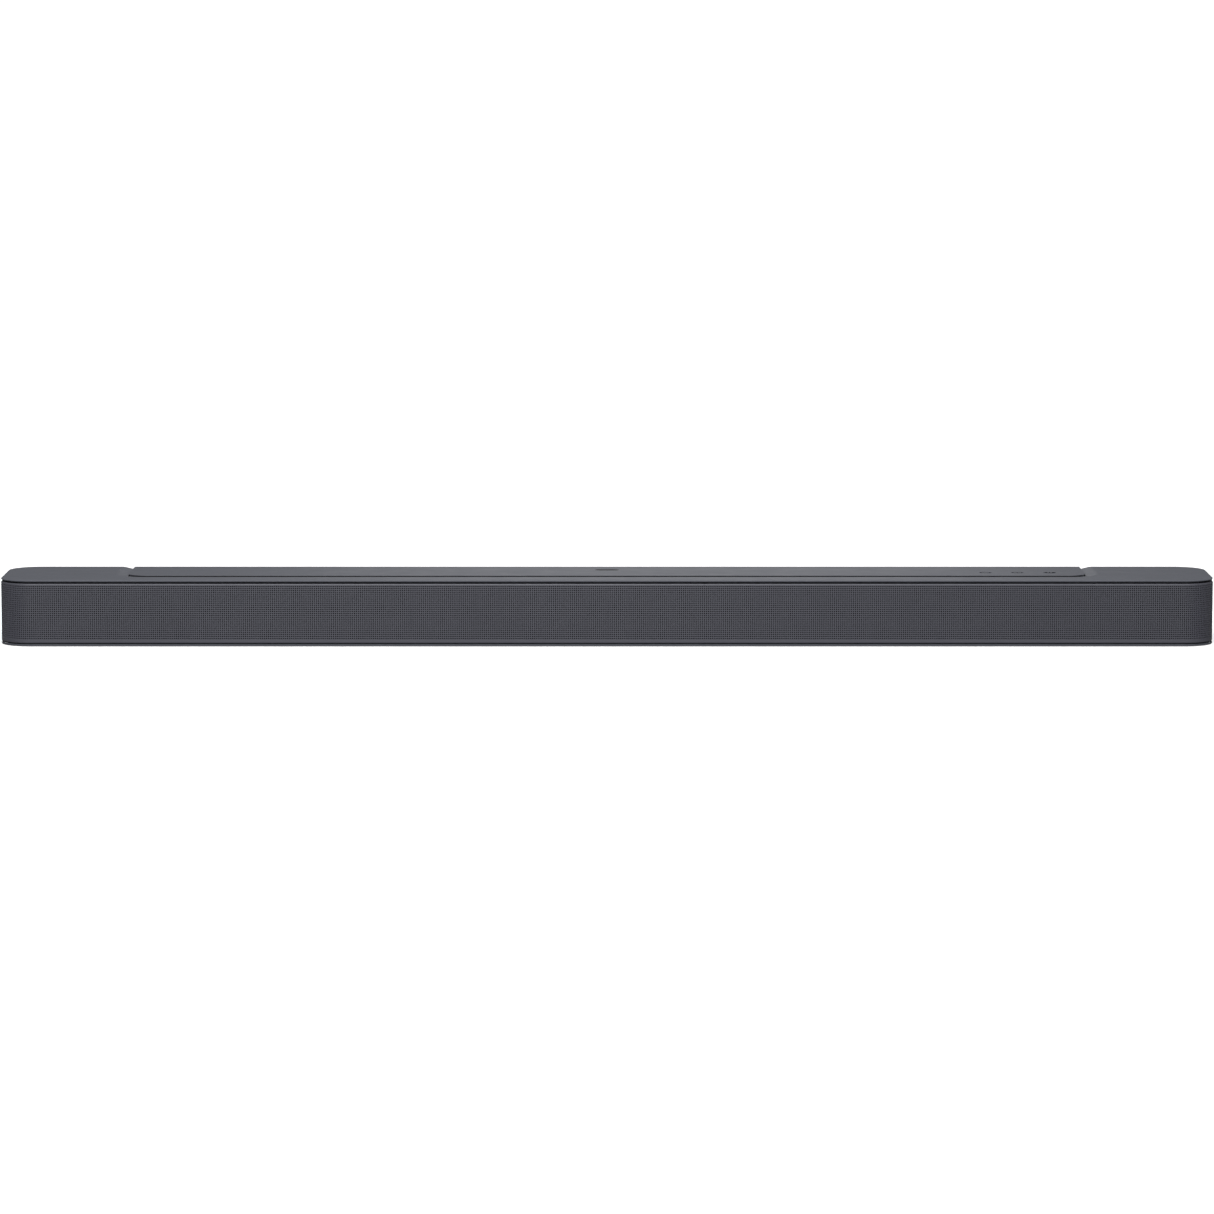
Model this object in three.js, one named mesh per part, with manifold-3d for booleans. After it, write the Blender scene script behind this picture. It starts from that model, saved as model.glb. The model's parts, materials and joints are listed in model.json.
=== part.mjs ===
// A slim soundbar, about one metre long: a perforated steel grille wraps the front and both ends between a
// bottom case and a top cover, a raised deck with three round keys runs along the top, and the rear panel
// carries the sockets and two wall-bracket inserts. Millimetres, +Z up, the front faces -Y, and the origin
// is on the ground under the middle of the bar.
import * as THREE from "three";
import { mergeVertices } from "three/addons/utils/BufferGeometryUtils.js";
import Module from "manifold-3d";

const wasm = await Module();
wasm.setup();

// ---------------------------------------------------------------- driving dimensions
const WIDTH = 1017;
const DEPTH = 103.5;
const HEIGHT = 56;
const CORNER_R = 26; // vertical corners, seen from above
const GAP = 0.3; // between pieces that touch on the real bar
const SEAM = 0.8; // shadow line below the grille
const TOP_SEAM = 1.4; // wider shadow line above it

const FOOT_PROUD = 0.4;
const CASE_EDGE = 1.5; // visible edge of the bottom case
const COVER_EDGE = 1.8; // visible edge of the top cover
const SKIN = 2.2; // wall of the moulded shells
const SHEET = 1.0; // grille sheet

const DECK_HALF = 404; // half the length of the raised deck
const DECK_SETBACK = 34; // from the front of the bar to the front of the deck
const DECK_R = 16; // front corners of the deck
const DECK_LIP = 0.6; // thickness of the deck's overhanging lip
const DECK_OVERHANG = 3;
const MOAT_WIDTH = 9.5; // sloped channel round the deck
const MOAT_DEPTH = 2.1;

const KEY_XS = [320, 347, 374.5];
const KEY_Y = 5;
const KEY_R = 4.8;
const KEY_TRAVEL = 0.5;

const WOOFER_XS = [-410, -75, 75, 410];
const WOOFER_LENGTH = 90;
const WOOFER_HEIGHT = 46;
const TWEETER_XS = [-340, 0, 340];
const DRIVER_Z = 28;

const IO_HALF = 92; // half the length of the socket recess
const IO_LOW = 10;
const IO_HIGH = 42;
const IO_DEPTH = 20;

const INSERT_X = 300;
const INSERT_Z = 30;
const SCREWS = [
  [-305, -30],
  [305, -30],
  [-475, 36],
  [-160, 36],
  [160, 36],
  [475, 36],
];

// Heights and depths that follow from them.
const FRONT = -DEPTH / 2;
const BACK = DEPTH / 2;
const CASE_LOW = FOOT_PROUD;
const CASE_TOP = CASE_LOW + CASE_EDGE;
const FLOOR_TOP = CASE_LOW + SKIN;
const COVER_LOW = HEIGHT - COVER_EDGE;
const GRILLE_LOW = CASE_TOP + SEAM;
const GRILLE_HIGH = COVER_LOW - TOP_SEAM;
const WRAP_END = BACK - CORNER_R; // where the grille stops on each side
const MOAT_FLOOR = HEIGHT - MOAT_DEPTH;
const DECK_FLOOR = MOAT_FLOOR - 1; // pocket under the deck
const COVER_UNDERSIDE = DECK_FLOOR - 2;
const DECK_FRONT = FRONT + DECK_SETBACK;
const BAFFLE_FRONT = FRONT + 7.8;
const BAFFLE_BACK = BAFFLE_FRONT + 4;

// ---------------------------------------------------------------- materials
const finish = (color, roughness, metalness = 0) => new THREE.MeshStandardMaterial({ color, roughness, metalness });
const SHELL = finish(0x4a4d54, 0.55);
const GRILLE = finish(0x3c3d44, 0.5, 0.6);
const INNER = finish(0x1b1c1f, 0.7);
const CLOTH = finish(0x0c0c0d, 0.95);
const RUBBER = finish(0x141414, 0.9);
const CONE = finish(0x232427, 0.8);
const STEEL = finish(0x8d9095, 0.35, 1);
const BRASS = finish(0xb48a3c, 0.35, 1);
const ALUMINIUM = finish(0xa9adb2, 0.4, 1);
const BOARD = finish(0x1d4d33, 0.6);
const MAGNET = finish(0x2c2d30, 0.5, 0.4);

// ---------------------------------------------------------------- solids
// A closed three.js geometry as a solid, with its faces pointing out.
function solid(geometry) {
  const bare = geometry.clone();
  bare.deleteAttribute("normal");
  bare.deleteAttribute("uv");
  const merged = mergeVertices(bare, 1e-4);
  const vertProperties = new Float32Array(merged.attributes.position.array);
  const triVerts = new Uint32Array(merged.index.array);
  const made = new wasm.Manifold(new wasm.Mesh({ numProp: 3, vertProperties, triVerts }));
  if (made.volume() >= 0) return made;
  for (let i = 0; i < triVerts.length; i += 3) {
    [triVerts[i + 1], triVerts[i + 2]] = [triVerts[i + 2], triVerts[i + 1]];
  }
  return new wasm.Manifold(new wasm.Mesh({ numProp: 3, vertProperties, triVerts }));
}

// A solid's faces as a three.js geometry.
function surface(made) {
  const mesh = made.getMesh();
  const geometry = new THREE.BufferGeometry();
  geometry.setAttribute("position", new THREE.BufferAttribute(mesh.vertProperties, 3));
  geometry.setIndex(new THREE.BufferAttribute(mesh.triVerts, 1));
  geometry.computeVertexNormals();
  return geometry;
}

const join = (first, ...rest) => rest.reduce((sum, piece) => sum.add(piece), first);
const cut = (first, ...rest) => rest.reduce((left, piece) => left.subtract(piece), first);

// A box between two corners.
function box(x0, y0, z0, x1, y1, z1) {
  const geometry = new THREE.BoxGeometry(x1 - x0, y1 - y0, z1 - z0);
  return solid(geometry.translate((x0 + x1) / 2, (y0 + y1) / 2, (z0 + z1) / 2));
}

// An upright round post or hole.
function post(x, y, z0, z1, r, segments = 12) {
  const geometry = new THREE.CylinderGeometry(r, r, z1 - z0, segments).rotateX(Math.PI / 2);
  return solid(geometry.translate(x, y, (z0 + z1) / 2));
}

// A round post or hole along Y.
function axle(x, z, y0, y1, r, segments = 12) {
  return solid(new THREE.CylinderGeometry(r, r, y1 - y0, segments).translate(x, (y0 + y1) / 2, z));
}

// A flat outline raised from z0 to z1.
function plate(shape, z0, z1, curveSegments = 4) {
  const geometry = new THREE.ExtrudeGeometry(shape, { depth: z1 - z0, bevelEnabled: false, curveSegments });
  return solid(geometry.translate(0, 0, z0));
}

// An outline raised from z0 to z1 whose edges at both ends step in by size over thickness.
function bevelled(shape, z0, z1, size, thickness, bevelSegments = 1, curveSegments = 4) {
  const geometry = new THREE.ExtrudeGeometry(shape, {
    depth: z1 - z0 - 2 * thickness,
    bevelThickness: thickness,
    bevelSize: size,
    bevelOffset: -size,
    bevelSegments,
    curveSegments,
  });
  return solid(geometry.translate(0, 0, z0 + thickness));
}

// A turned piece from [radius, height] pairs that close on themselves or end on the axis, standing along Z.
function turned(profile, segments = 16) {
  const points = profile.map(([r, h]) => new THREE.Vector2(r, h));
  return solid(new THREE.LatheGeometry(points, segments).rotateX(Math.PI / 2));
}

// ---------------------------------------------------------------- outlines
// The bar's outline from above, drawn in by inset.
function barOutline(inset) {
  return roundedRect(-WIDTH / 2 + inset, FRONT + inset, WIDTH / 2 - inset, BACK - inset, CORNER_R - inset);
}

function roundedRect(x0, y0, x1, y1, r) {
  const shape = new THREE.Shape();
  shape.absarc(x1 - r, y1 - r, r, 0, Math.PI / 2);
  shape.absarc(x0 + r, y1 - r, r, Math.PI / 2, Math.PI);
  shape.absarc(x0 + r, y0 + r, r, Math.PI, 1.5 * Math.PI);
  shape.absarc(x1 - r, y0 + r, r, 1.5 * Math.PI, 2 * Math.PI);
  return shape;
}

// A racetrack: two half circles joined by straights.
function racetrack(length, height) {
  const r = height / 2;
  const reach = length / 2 - r;
  const shape = new THREE.Shape();
  shape.absarc(reach, 0, r, -Math.PI / 2, Math.PI / 2);
  shape.absarc(-reach, 0, r, Math.PI / 2, 1.5 * Math.PI);
  return shape;
}

// A strip that follows the bar's outline round one long side, from inset outer to inset inner, and stops at
// y = end on both short sides. side is -1 for the front and 1 for the back.
function wrapStrip(outer, inner, end, side) {
  const shape = new THREE.Shape();
  const cx = WIDTH / 2 - CORNER_R;
  const cy = side * (DEPTH / 2 - CORNER_R);
  const turn = (side * Math.PI) / 2;
  const clockwise = side < 0;
  shape.moveTo(cx + CORNER_R - outer, end);
  shape.absarc(cx, cy, CORNER_R - outer, 0, turn, clockwise);
  shape.absarc(-cx, cy, CORNER_R - outer, turn, 2 * turn, clockwise);
  shape.lineTo(-cx - CORNER_R + outer, end);
  shape.lineTo(-cx - CORNER_R + inner, end);
  shape.absarc(-cx, cy, CORNER_R - inner, 2 * turn, turn, !clockwise);
  shape.absarc(cx, cy, CORNER_R - inner, turn, 0, !clockwise);
  shape.lineTo(cx + CORNER_R - inner, end);
  return shape;
}

// The deck's outline grown by grow: round at the front, square and open at the back, which is at y = back.
function deckOutline(grow, back) {
  const half = DECK_HALF + grow;
  const r = DECK_R + grow;
  const front = DECK_FRONT - grow;
  const shape = new THREE.Shape();
  shape.moveTo(half, back);
  shape.lineTo(-half, back);
  shape.absarc(-half + r, front + r, r, Math.PI, 1.5 * Math.PI);
  shape.absarc(half - r, front + r, r, 1.5 * Math.PI, 2 * Math.PI);
  return shape;
}

// ---------------------------------------------------------------- the assembly
const soundbar = new THREE.Group();

function add(name, made, material, parent = soundbar) {
  const mesh = new THREE.Mesh(surface(made), material);
  mesh.name = name;
  parent.add(mesh);
  return mesh;
}

// ---------------------------------------------------------------- casework
// Floor tray with a locating rib inside the grille, foot recesses and a counterbored pad at each screw.
function bottomCase() {
  const edgeR = 1.2;
  const tray = cut(
    bevelled(barOutline(0), CASE_LOW, CASE_LOW + 8, edgeR, edgeR),
    box(-WIDTH, -DEPTH, CASE_TOP, WIDTH, DEPTH, HEIGHT),
  );
  const rib = cut(plate(barOutline(5), CASE_LOW + 1, CASE_TOP + 1.8), plate(barOutline(6.6), CASE_TOP, HEIGHT));
  const pads = SCREWS.map(([x, y]) => post(x, y, CASE_LOW + 1, CASE_TOP + 4, 6));
  const bores = SCREWS.map(([x, y]) => post(x, y, 0, HEIGHT, 1.8));
  const counterbores = SCREWS.map(([x, y]) => post(x, y, 0, CASE_LOW + 3.4, 3.4));
  const recesses = FEET.map(([x, y]) => plate(footOutline(x, y, GAP), 0, CASE_LOW + 1.2));
  return cut(join(tray, rib, ...pads), ...bores, ...counterbores, ...recesses);
}

const FEET = [
  [-400, FRONT + 22],
  [400, FRONT + 22],
  [-400, BACK - 16],
  [400, BACK - 16],
];
const FOOT_NAMES = ["front_left_foot", "front_right_foot", "rear_left_foot", "rear_right_foot"];
const FOOT_LENGTH = 64;
const FOOT_WIDTH = 12;

function footOutline(x, y, grow) {
  const halfLength = FOOT_LENGTH / 2 + grow;
  const halfWidth = FOOT_WIDTH / 2 + grow;
  return roundedRect(x - halfLength, y - halfWidth, x + halfLength, y + halfWidth, halfWidth - 0.01);
}

// Top plate with a soft front edge, the sloped channel that the deck stands in, bosses that the case screws
// bite into, and clearance holes for the key stems.
function topCover() {
  const edgeR = 2;
  const slab = cut(
    bevelled(barOutline(0), COVER_LOW - 8, HEIGHT, edgeR, edgeR, 2),
    box(-WIDTH, -DEPTH, 0, WIDTH, DEPTH, COVER_LOW),
  );
  const plug = plate(barOutline(8), COVER_UNDERSIDE, COVER_LOW + 1);
  const bosses = SCREWS.map(([x, y]) => post(x, y, CASE_TOP + 4 + GAP, COVER_LOW, 4.5));
  const pilots = SCREWS.map(([x, y]) => post(x, y, 0, CASE_TOP + 18, 1.8));
  const hangers = [KEY_XS[0] - 14, KEY_XS[2] + 14].map((x) => post(x, KEY_Y, KEY_BOARD_TOP + GAP, COVER_LOW, 3));
  const stems = KEY_XS.map((x) => post(x, KEY_Y, 0, HEIGHT, 2.6));
  return cut(join(slab, plug, ...bosses, ...hangers), moat(), plate(deckOutline(GAP, BACK + 9), DECK_FLOOR, HEIGHT + 1),
    ...pilots, ...stems);
}

// The volume cut away round the deck. Its floor slopes down towards the deck, and runs a little under it.
function moat() {
  const runUnder = DECK_OVERHANG - 1;
  const run = MOAT_WIDTH + runUnder;
  const drop = (MOAT_DEPTH * run) / MOAT_WIDTH;
  const low = HEIGHT - drop;
  const high = HEIGHT + drop;
  return bevelled(deckOutline(MOAT_WIDTH, BACK + 40), low, high, run, drop - 0.01);
}

// Raised deck: a lip that overhangs a narrower foot, so a dark line shows under its edge. The foot stops short of
// the rear panel.
function topDeck() {
  const lip = bevelled(deckOutline(0, BACK), HEIGHT - 2 * DECK_LIP, HEIGHT, 0.3, 0.3);
  const slab = cut(lip, box(-WIDTH, -DEPTH, 0, WIDTH, DEPTH, HEIGHT - DECK_LIP));
  const foot = plate(deckOutline(-DECK_OVERHANG, BACK - SKIN - GAP), DECK_FLOOR + GAP, HEIGHT - DECK_LIP + 0.1);
  const keyHoles = KEY_XS.map((x) => post(x, KEY_Y, 0, HEIGHT + 1, KEY_R + GAP, 24));
  const counterbores = KEY_XS.map((x) => post(x, KEY_Y, 0, HEIGHT - 1.1, KEY_R + 1.4, 24));
  const badgeBed = plate(badgeOutline(GAP), HEIGHT - 0.6, HEIGHT + 1);
  return cut(join(slab, foot), ...keyHoles, ...counterbores, badgeBed);
}

const BADGE_Y = 26;
const BADGE_LENGTH = 20;
const BADGE_WIDTH = 9;

function badgeOutline(grow) {
  const halfLength = BADGE_LENGTH / 2 + grow;
  const halfWidth = BADGE_WIDTH / 2 + grow;
  return roundedRect(-halfLength, BADGE_Y - halfWidth, halfLength, BADGE_Y + halfWidth, halfWidth - 0.01);
}

// U-shaped steel sheet round the front and both ends, with its top and bottom edges turned in. The sheet is
// plain here: its perforation is finer than a solid model needs.
function frontGrille() {
  const end = WRAP_END - GAP;
  const sheet = plate(wrapStrip(0, SHEET, end, -1), GRILLE_LOW, GRILLE_HIGH);
  const turnIn = 4.5;
  const lower = plate(wrapStrip(0.2, turnIn, end, -1), GRILLE_LOW, GRILLE_LOW + SHEET);
  const upper = plate(wrapStrip(0.2, turnIn, end, -1), GRILLE_HIGH - SHEET, GRILLE_HIGH);
  return join(sheet, lower, upper);
}

// Thin black cloth bonded behind the perforations.
function grilleCloth() {
  const inset = SHEET + GAP;
  return plate(wrapStrip(inset, inset + 0.4, WRAP_END - 2, -1), GRILLE_LOW + 2, GRILLE_HIGH - 2);
}

// Back wall that turns both rear corners, with the socket recess and a boss for each wall insert.
function rearPanel() {
  const low = CASE_TOP + GAP;
  const high = COVER_LOW - GAP;
  const wall = plate(wrapStrip(0, SKIN, WRAP_END, 1), low, high);
  const inner = BACK - IO_DEPTH;
  const recessShell = box(-IO_HALF - SKIN, inner - SKIN, IO_LOW - SKIN, IO_HALF + SKIN, BACK - 1, IO_HIGH + SKIN);
  const recess = box(-IO_HALF, inner, IO_LOW, IO_HALF, BACK + 5, IO_HIGH);
  const bosses = [-INSERT_X, INSERT_X].map((x) => axle(x, INSERT_Z, BACK - 12, BACK - 1, 8));
  const seats = [-INSERT_X, INSERT_X].map((x) => axle(x, INSERT_Z, BACK - 13, BACK + 5, 4.5));
  const windows = SOCKETS.map((s) => socketBox(s, GAP, inner - 5, inner + 1));
  return cut(join(wall, recessShell, ...bosses), recess, ...seats, ...windows);
}

// ---------------------------------------------------------------- sockets
// Each: centre along X, outer width and height, width and height of the opening, and its depth.
const SOCKETS = [
  { name: "mains_inlet", x: -72, width: 21, height: 14, opening: [17, 8.6], depth: 12 },
  { name: "optical_socket", x: -42, width: 13, height: 13, opening: [9.6, 9.6], depth: 7 },
  { name: "hdmi_in_socket", x: -15, width: 17, height: 7.8, opening: [14, 4.8], depth: 10 },
  { name: "hdmi_out_socket", x: 13, width: 17, height: 7.8, opening: [14, 4.8], depth: 10 },
  { name: "network_socket", x: 43, width: 16, height: 12, opening: [12, 8], depth: 12 },
  { name: "usb_socket", x: 72, width: 15.6, height: 8.2, opening: [12.6, 5.2], depth: 11 },
];
const SOCKET_Z = (IO_LOW + IO_HIGH) / 2;
const SOCKET_FACE = BACK - IO_DEPTH;
const SOCKET_LENGTH = 14;

function socketBox(socket, grow, y0, y1) {
  const halfWidth = socket.width / 2 + grow;
  const halfHeight = socket.height / 2 + grow;
  return box(socket.x - halfWidth, y0, SOCKET_Z - halfHeight, socket.x + halfWidth, y1, SOCKET_Z + halfHeight);
}

// A housing with the space that its plug goes into.
function socket(s) {
  const body = socketBox(s, 0, SOCKET_FACE - SOCKET_LENGTH, SOCKET_FACE);
  const [width, height] = s.opening;
  const end = SOCKET_FACE - s.depth;
  const mouth = box(s.x - width / 2, end, SOCKET_Z - height / 2, s.x + width / 2, BACK, SOCKET_Z + height / 2);
  return cut(body, mouth);
}

// ---------------------------------------------------------------- keys
const KEY_NAMES = ["volume_down_key", "volume_up_key", "power_key"];
const STEM_TIP = 48;
const SWITCH_TOP = 49.2;
const SWITCH_LOW = 45.3;
const KEY_BOARD_TOP = SWITCH_LOW - GAP;

// Round cap, flange that keeps it under the deck, and the stem that works the switch.
function key() {
  const capTop = HEIGHT - 0.05;
  const flangeTop = HEIGHT - 1.1 - GAP;
  return turned(
    [
      [0, STEM_TIP],
      [2, STEM_TIP],
      [2, flangeTop - 0.7],
      [KEY_R + 1, flangeTop - 0.7],
      [KEY_R + 1, flangeTop],
      [KEY_R, flangeTop],
      [KEY_R, capTop - 0.25],
      [KEY_R - 0.25, capTop],
      [0, capTop - 0.25],
    ],
    24,
  );
}

// Square switch with a well that the stem presses into.
function keySwitch() {
  return cut(box(-3.6, -3.6, SWITCH_LOW, 3.6, 3.6, SWITCH_TOP), post(0, 0, STEM_TIP - 2 * KEY_TRAVEL, HEIGHT, 2.5));
}

// ---------------------------------------------------------------- speakers
// Drivers are drawn facing +Z with their mounting plane at z = 0, and then turned to face the front.
function wooferFrame() {
  const flange = plate(racetrack(WOOFER_LENGTH, WOOFER_HEIGHT), 0, 2);
  const basket = bevelled(racetrack(82, 38), -18, 18, 14, 17.9, 1, 3);
  const hollow = bevelled(racetrack(79, 35), -16.2, 16.2, 14, 16.1, 1, 3);
  const windows = [-1, 1].flatMap((side) => [-1, 1].map((end) => windowAt(end * 13, side * 17)));
  const opening = plate(racetrack(79, 35), 0, 3, 3);
  const neck = post(0, 0, -30, 0, 12, 16);
  const above = box(-60, -60, 0.01, 60, 60, 60);
  return cut(join(cut(basket, above), flange), hollow, opening, neck, ...windows);
}

function windowAt(x, y) {
  return box(x - 8, y - 9, -13, x + 8, y + 9, -5);
}

// Shallow cone inside its half-round surround, with the dust cap in the middle and the coil former behind.
function wooferCone() {
  const rim = racetrack(78.4, 34.4);
  rim.holes.push(racetrack(64, 20));
  const surround = bevelled(rim, 2 + GAP, 5, 1.2, 1.2, 1, 3);
  const outside = bevelled(racetrack(68, 24), -8, 14, 7, 10.9, 1, 3);
  const scoop = bevelled(racetrack(66, 22), -7, 15, 7, 10.9, 1, 3);
  const above = box(-60, -60, 3, 60, 60, 60);
  const cap = turned([
    [0, -8],
    [9.9, -8],
    [9.9, -6.4],
    [7.5, -4.4],
    [4, -3.2],
    [0, -2.8],
  ]);
  const former = cut(post(0, 0, -24, -7, 10.3, 16), post(0, 0, -30, -8, 9.7, 16));
  return join(cut(outside, above, scoop), surround, cap, former);
}

// Back plate, ring magnet and front plate round a centre pole, with the gap that the coil sits in.
function wooferMagnet() {
  const front = -18 - GAP;
  return turned([
    [0, front - 16],
    [19, front - 16],
    [19, front - 1],
    [18, front],
    [11.2, front],
    [11.2, front - 12],
    [8.6, front - 12],
    [8.6, front],
    [0, front],
  ]);
}

function tweeterBody() {
  return turned([
    [0, -14],
    [13, -14],
    [13, -GAP],
    [18, -GAP],
    [18, 1.5],
    [16, 2],
    [11, 0.6],
    [10.6, -1.5],
    [10.6, -8],
    [7, -8],
    [7, -3],
    [0, -3],
  ]);
}

// Domed diaphragm with its coil former.
function tweeterDome() {
  const rise = 3;
  const crown = Array.from({ length: 4 }, (_, i) => [9 * Math.cos((i * Math.PI) / 6), -0.2 + rise * Math.sin((i * Math.PI) / 6)]);
  const under = [
    [0, rise - 0.9],
    [5, rise - 1.7],
    [8.4, -0.4],
    [8.4, -6],
    [9, -6],
  ];
  return turned([...crown, ...under, crown[0]]);
}

// ---------------------------------------------------------------- electronics
function circuitBoard(x0, y0, x1, y1, z) {
  return box(x0, y0, z, x1, y1, z + 1.6);
}

// A block with upright fins.
function heatSink(x0, y0, z0) {
  const fins = Array.from({ length: 7 }, (_, i) => box(x0 + i * 8, y0, z0 + 2.9, x0 + i * 8 + 2, y0 + 30, z0 + 16));
  return join(box(x0, y0, z0, x0 + 50, y0 + 30, z0 + 3), ...fins);
}

// ---------------------------------------------------------------- put it together
add("bottom_case", bottomCase(), SHELL);
add("top_cover", topCover(), SHELL);
add("top_deck", topDeck(), SHELL);
add("deck_badge", plate(badgeOutline(0), HEIGHT - 0.6 + GAP, HEIGHT), INNER);
add("front_grille", frontGrille(), GRILLE);
add("grille_cloth", grilleCloth(), CLOTH);
add("rear_panel", rearPanel(), SHELL);
FEET.forEach(([x, y], i) => add(FOOT_NAMES[i], plate(footOutline(x, y, 0), 0, CASE_LOW + 1.2 - GAP), RUBBER));

KEY_NAMES.forEach((name, i) => {
  add(name, key(), SHELL).position.set(KEY_XS[i], KEY_Y, 0);
  add(name.replace("_key", "_switch"), keySwitch(), INNER).position.set(KEY_XS[i], KEY_Y, 0);
});
add("key_board", circuitBoard(KEY_XS[0] - 18, KEY_Y - 9, KEY_XS[2] + 18, KEY_Y + 9, KEY_BOARD_TOP - 1.6), BOARD);

// The baffle carries the drivers, and the two walls part the end chambers from the electronics.
function baffle() {
  const board = box(-WIDTH / 2 + 24, BAFFLE_FRONT, CASE_TOP + 2.5, WIDTH / 2 - 24, BAFFLE_BACK, COVER_UNDERSIDE - GAP);
  const wooferHoles = WOOFER_XS.map((x) =>
    solid(new THREE.ExtrudeGeometry(racetrack(83, 39), { depth: 20, bevelEnabled: false, curveSegments: 4 })
      .rotateX(Math.PI / 2)
      .translate(x, BAFFLE_FRONT + 10, DRIVER_Z)),
  );
  const tweeterHoles = TWEETER_XS.map((x) => axle(x, DRIVER_Z, BAFFLE_FRONT - 5, BAFFLE_BACK + 5, 13.6, 16));
  return cut(board, ...wooferHoles, ...tweeterHoles);
}

add("baffle", baffle(), INNER);
const WALL_X = 290;
[-1, 1].forEach((side) => {
  const name = side < 0 ? "left_chamber_wall" : "right_chamber_wall";
  const x = side * WALL_X;
  const wall = box(x - 1.2, BAFFLE_BACK + GAP, CASE_TOP + 2.5, x + 1.2, BACK - SKIN - GAP, COVER_UNDERSIDE - GAP);
  add(name, cut(wall, axle(x, INSERT_Z, BACK - 14, BACK, 19)), INNER);
});

// A driver's group faces the front, with its mounting plane on the baffle.
function driverGroup(x) {
  const group = new THREE.Group();
  group.position.set(x, BAFFLE_FRONT - GAP, DRIVER_Z);
  group.rotation.x = Math.PI / 2;
  soundbar.add(group);
  return group;
}

WOOFER_XS.forEach((x, i) => {
  const group = driverGroup(x);
  const name = `woofer_${i + 1}`;
  add(`${name}_frame`, wooferFrame(), STEEL, group);
  add(`${name}_cone`, wooferCone(), CONE, group);
  add(`${name}_magnet`, wooferMagnet(), MAGNET, group);
});

TWEETER_XS.forEach((x, i) => {
  const group = driverGroup(x);
  add(`tweeter_${i + 1}_body`, tweeterBody(), MAGNET, group);
  add(`tweeter_${i + 1}_dome`, tweeterDome(), CONE, group);
});

SOCKETS.forEach((s) => add(s.name, socket(s), INNER));
add("socket_board", box(-IO_HALF, SOCKET_FACE - SOCKET_LENGTH - GAP - 1.6, IO_LOW, IO_HALF, SOCKET_FACE - SOCKET_LENGTH - GAP,
  IO_HIGH), BOARD);

[-1, 1].forEach((side) => {
  const name = side < 0 ? "left_wall_insert" : "right_wall_insert";
  const x = side * INSERT_X;
  const insert = cut(axle(x, INSERT_Z, BACK - 10, BACK - 0.2, 4.5 - GAP), axle(x, INSERT_Z, BACK - 11, BACK + 1, 2.1));
  add(name, insert, BRASS);
});

const BOARD_Z = FLOOR_TOP + 5;
add("main_board", circuitBoard(135, -30, 270, 28, BOARD_Z), BOARD);
add("heat_sink", heatSink(150, -20, BOARD_Z + 1.6 + GAP), ALUMINIUM);
add("power_board", circuitBoard(-270, -30, -135, 28, BOARD_Z), BOARD);
add("transformer", bevelled(roundedRect(-230, -16, -196, 16, 2), BOARD_Z + 1.6 + GAP, BOARD_Z + 26, 1, 1), INNER);
add("mains_capacitor", post(-166, 0, BOARD_Z + 1.6 + GAP, BOARD_Z + 30, 11, 16), INNER);
add("display_board", box(205, BAFFLE_FRONT - GAP - 2.4, 22, 265, BAFFLE_FRONT - GAP, 38), BOARD);

SCREWS.forEach(([x, y], i) => {
  const low = CASE_LOW + 3.4 - GAP - 2;
  const screw = turned([
    [0, low + 0.9],
    [1.2, low + 0.9],
    [1.2, low],
    [2.7, low],
    [2.9, low + 0.6],
    [2.9, low + 2],
    [1.4, low + 2],
    [1.4, low + 16],
    [0, low + 17],
  ], 10);
  add(`case_screw_${i + 1}`, screw, STEEL).position.set(x, y, 0);
});

export default soundbar;
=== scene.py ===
"""Looks for a slim soundbar: a perforated steel grille wrapped round a slate-grey moulded case, a raised deck
with three keys, and a socket recess at the back. Lengths inside the builders are in millimetres, and
make_piece() turns them into metres."""

import json
import math

import bmesh
import bpy
import numpy as np
from bpy.props import FloatProperty, FloatVectorProperty, IntProperty, PointerProperty
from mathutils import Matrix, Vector


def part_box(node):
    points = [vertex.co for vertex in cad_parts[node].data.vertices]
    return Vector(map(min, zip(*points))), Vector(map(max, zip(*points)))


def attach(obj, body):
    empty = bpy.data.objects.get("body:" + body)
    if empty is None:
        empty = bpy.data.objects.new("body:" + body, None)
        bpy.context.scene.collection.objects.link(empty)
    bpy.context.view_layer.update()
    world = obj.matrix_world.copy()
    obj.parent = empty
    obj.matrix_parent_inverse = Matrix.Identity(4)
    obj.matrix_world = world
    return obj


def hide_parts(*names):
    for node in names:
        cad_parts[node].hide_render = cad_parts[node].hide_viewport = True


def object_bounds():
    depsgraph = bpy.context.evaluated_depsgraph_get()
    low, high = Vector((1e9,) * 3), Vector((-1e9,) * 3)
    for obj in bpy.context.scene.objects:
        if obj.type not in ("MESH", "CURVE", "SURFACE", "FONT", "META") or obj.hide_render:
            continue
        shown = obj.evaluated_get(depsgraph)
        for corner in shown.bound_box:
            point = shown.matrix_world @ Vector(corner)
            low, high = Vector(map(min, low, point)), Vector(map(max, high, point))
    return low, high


bl_info = {
    "name": "Soundbar",
    "version": (1, 0, 0),
    "blender": (4, 5, 0),
    "location": "3D View > Sidebar > Soundbar",
    "description": "Builds a soundbar's grille, case, deck, keys and sockets round its packed frame",
    "category": "Object",
}

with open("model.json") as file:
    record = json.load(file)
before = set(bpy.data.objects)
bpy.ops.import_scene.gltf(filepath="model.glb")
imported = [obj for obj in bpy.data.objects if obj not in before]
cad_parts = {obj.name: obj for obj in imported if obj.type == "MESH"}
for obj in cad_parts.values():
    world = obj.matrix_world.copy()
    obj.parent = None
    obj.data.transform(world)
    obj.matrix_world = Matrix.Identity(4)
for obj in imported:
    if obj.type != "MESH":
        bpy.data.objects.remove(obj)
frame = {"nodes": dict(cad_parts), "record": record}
CAD_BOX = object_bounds()

MM = 0.001
BAR = "bar"  # the body that everything but the keys rides on


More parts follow.
